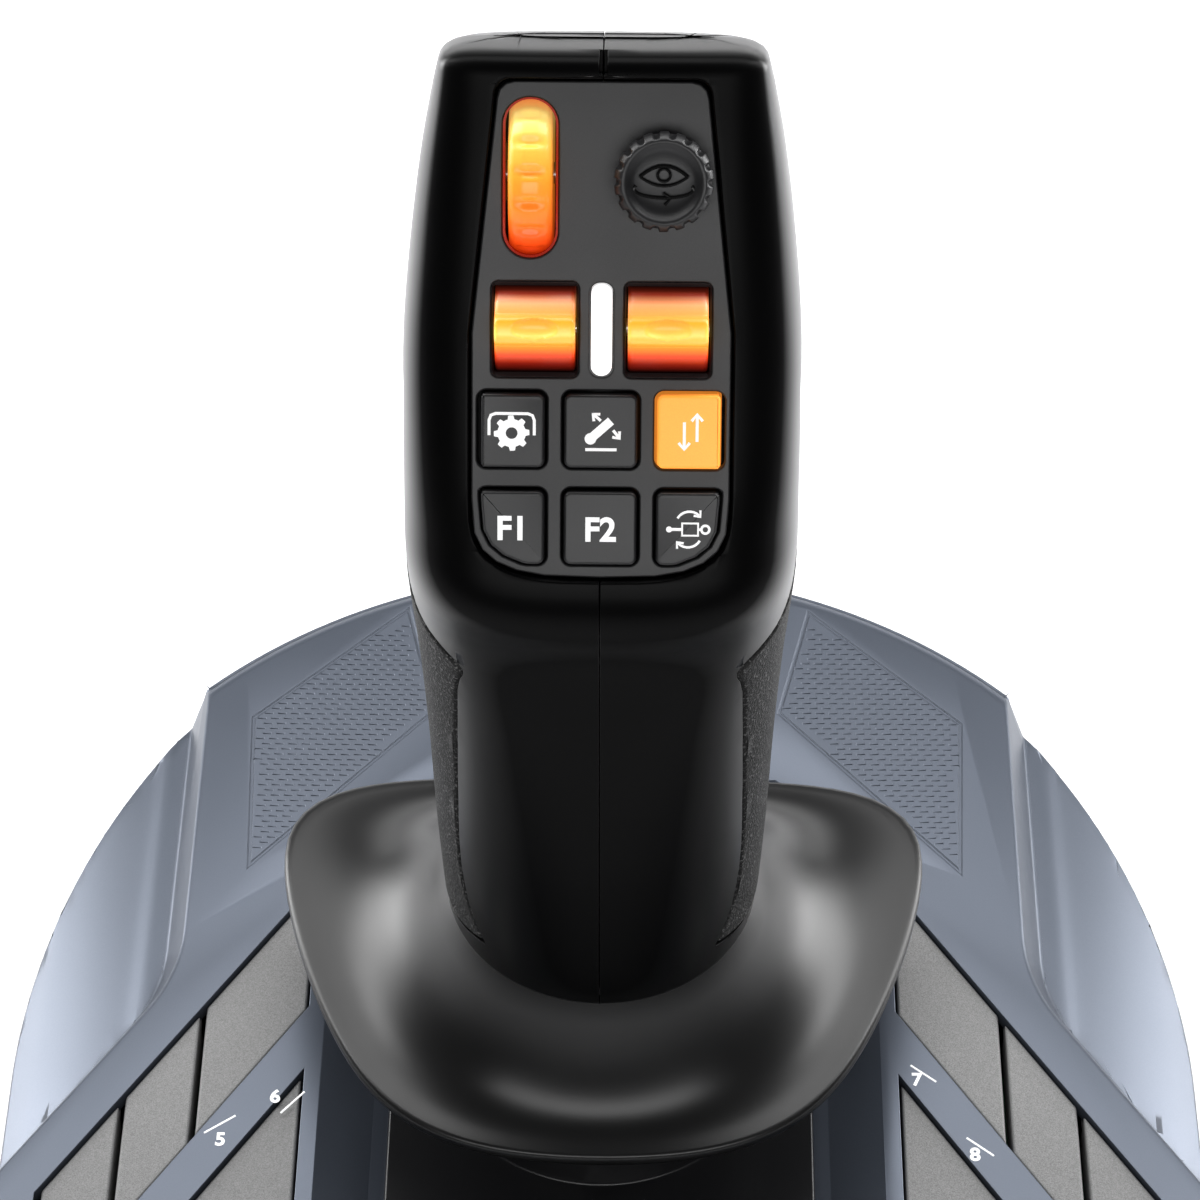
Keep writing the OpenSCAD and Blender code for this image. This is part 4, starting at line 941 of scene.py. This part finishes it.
def arrowHead(tip, turn, size):
    head = [(-size, size * 0.8), (0, 0), (-size, -size * 0.8)]
    c, s = cos(radians(turn)), sin(radians(turn))
    return [(tip[0] + x * c - y * s, tip[1] + x * s + y * c) for x, y in head]


def lettering(text, size, x, y):
    data = bpy.data.curves.new("text", "FONT")
    data.body = text
    data.size = size
    data.align_x = "CENTER"
    data.align_y = "CENTER"
    data.extrude = 0.05
    data.offset = 0.03 * size
    bm = curveMesh(data)
    bmesh.ops.scale(bm, vec=(mm, mm, mm), verts=bm.verts)
    bmesh.ops.translate(bm, vec=(x * mm, y * mm, 0), verts=bm.verts)
    return bm


def gear(x, y, outer, inner, hole, teeth):
    count = teeth * 8
    rim = []
    for i in range(count):
        turn = 2 * pi * i / count
        radius = outer if (i % 8) in (0, 1, 2, 7) else inner
        rim.append((x + radius * cos(turn), y + radius * sin(turn)))
    wheelSign = combine(makeObject("gear", patch(rim)), "DIFFERENCE", prism(arc(x, y, hole, 0, 350, 35), -1, 1))
    return takeMesh(wheelSign)


thin = 0.42
signs = {
    1: lambda: [stroke([(-3.1, -0.6), (-3.1, 1.5), (-2.85, 2.15), (-2.2, 2.4), (2.2, 2.4), (2.85, 2.15), (3.1, 1.5),
                        (3.1, -0.6)], thin),
                gear(0, -0.3, 2.45, 1.95, 0.8, 8)],
    2: lambda: [stroke([(-2.1, -2.5), (2.2, -2.5)], thin), stroke([(-1.35, -0.95), (1.4, 1.5)], 1.25),
                patch(arc(-1.4, -1.0, 0.8, 0, 345, 23)), stroke([(0.0, 1.5), (-0.9, 2.3)], thin),
                stroke(arrowHead((-1.1, 2.45), 138, 0.8), thin), stroke([(1.7, 0.2), (2.5, -0.8)], thin),
                stroke(arrowHead((2.6, -0.95), -50, 0.8), thin)],
    3: lambda: [stroke([(-0.75, 1.4), (-0.75, -2.2)], thin), stroke(arrowHead((-0.75, -2.4), -90, 0.95), thin),
                stroke([(1.0, -1.3), (1.0, 2.3)], thin), stroke(arrowHead((1.0, 2.5), 90, 0.95), thin)],
    4: lambda: [lettering("F1", 4.6, 0.1, -0.2)],
    5: lambda: [lettering("F2", 4.6, 0, -0.3)],
    6: lambda: [patch(arc(-2.7, 0, 0.42, 0, 345, 23)), stroke([(-2.6, 0), (-0.9, 0)], thin),
                stroke([(-0.9, 0.85), (1.3, 0.85), (1.3, -0.85), (-0.9, -0.85)], 0.36, closed=True),
                stroke(arc(2.3, 0, 0.55, 0, 345, 23), 0.36, closed=True), stroke([(1.3, 0), (1.8, 0)], 0.36),
                stroke(arc(0.1, 0.6, 1.9, 150, 45, 8), 0.34), stroke(arrowHead((1.6, 1.75), -50, 0.75), 0.34),
                stroke(arc(-0.1, -0.6, 1.9, -30, -135, 8), 0.34), stroke(arrowHead((-1.6, -1.75), 130, 0.75), 0.34)],
}
panelKeys = {"pitch": 12.2, "rows": (20.7, 7.2), "top": 1.5}

for number, sign in signs.items():
    row, column = divmod(number - 1, 3)
    spot = Vector(((column - 1) * panelKeys["pitch"], panelKeys["rows"][row], panelKeys["top"]))
    bm = place(joined(*sign()), onPanel @ Matrix.Translation(spot * mm))
    finishPiece(makeObject(f"sign_{number}", bm), f"panel_key_{number}", slotOf[f"panel_key_{number}"],
                material=inkWithPaintedGlow, weld=0.001)


def makeEye():
    upper = [(x / 4 * 3.2, 1.45 * (1 - (x / 4) ** 2) + 0.75) for x in range(-4, 5)]
    lower = [(x / 4 * 3.2, 0.75 - 1.25 * (1 - (x / 4) ** 2)) for x in range(-4, 5)]
    orbit = arc(0, 0, 1, 160, 380, 20)
    parts = [stroke(upper, 0.45, 0.18), stroke(lower, 0.4, 0.18),
             stroke(arc(0, 0.95, 0.85, 0, 345, 23), 0.38, 0.18, closed=True),
             stroke([(4.0 * x, 1.25 * y - 0.85) for x, y in orbit], 0.45, 0.18),
             stroke(arrowHead((1.0, -2.1), 8, 1.0), 0.45, 0.18)]
    spot = Vector(knob["place"]) + Vector((0, 0, 10.75))
    bm = place(joined(*parts), onPanel @ Matrix.Translation(spot * mm))
    finishPiece(makeObject("knobEye", bm), "camera_knob", "panel_key", material=blackGloss, weld=0.001)


makeEye()

rowLabels = [("5", -60.7, -25.9, 3.4), ("6", -52.5, -17.5, 3.4), ("7", 51.1, -12.9, 3.4), ("8", 59.8, -27.3, 3.4)]
rowMarks = [[(-63.4, -24.6), (-58.6, -21.2)], [(-51.4, -20.6), (-47.8, -16.4)], [(50.2, -10.0), (54.2, -13.2)],
            [(58.6, -24.0), (62.8, -27.4)]]


def makeRowLabels():
    parts = [lettering(text, size, x, y) for text, x, y, size in rowLabels]
    parts += [stroke(line, 0.35) for line in rowMarks]
    bm = place(joined(*parts), Matrix.Translation((0, 0, base["deck"] * mm)))
    finishPiece(makeObject("rowLabels", bm), "base", "base_shell", material=inkWithPaintedGlow, weld=0.001)


makeRowLabels()
print("signs made")
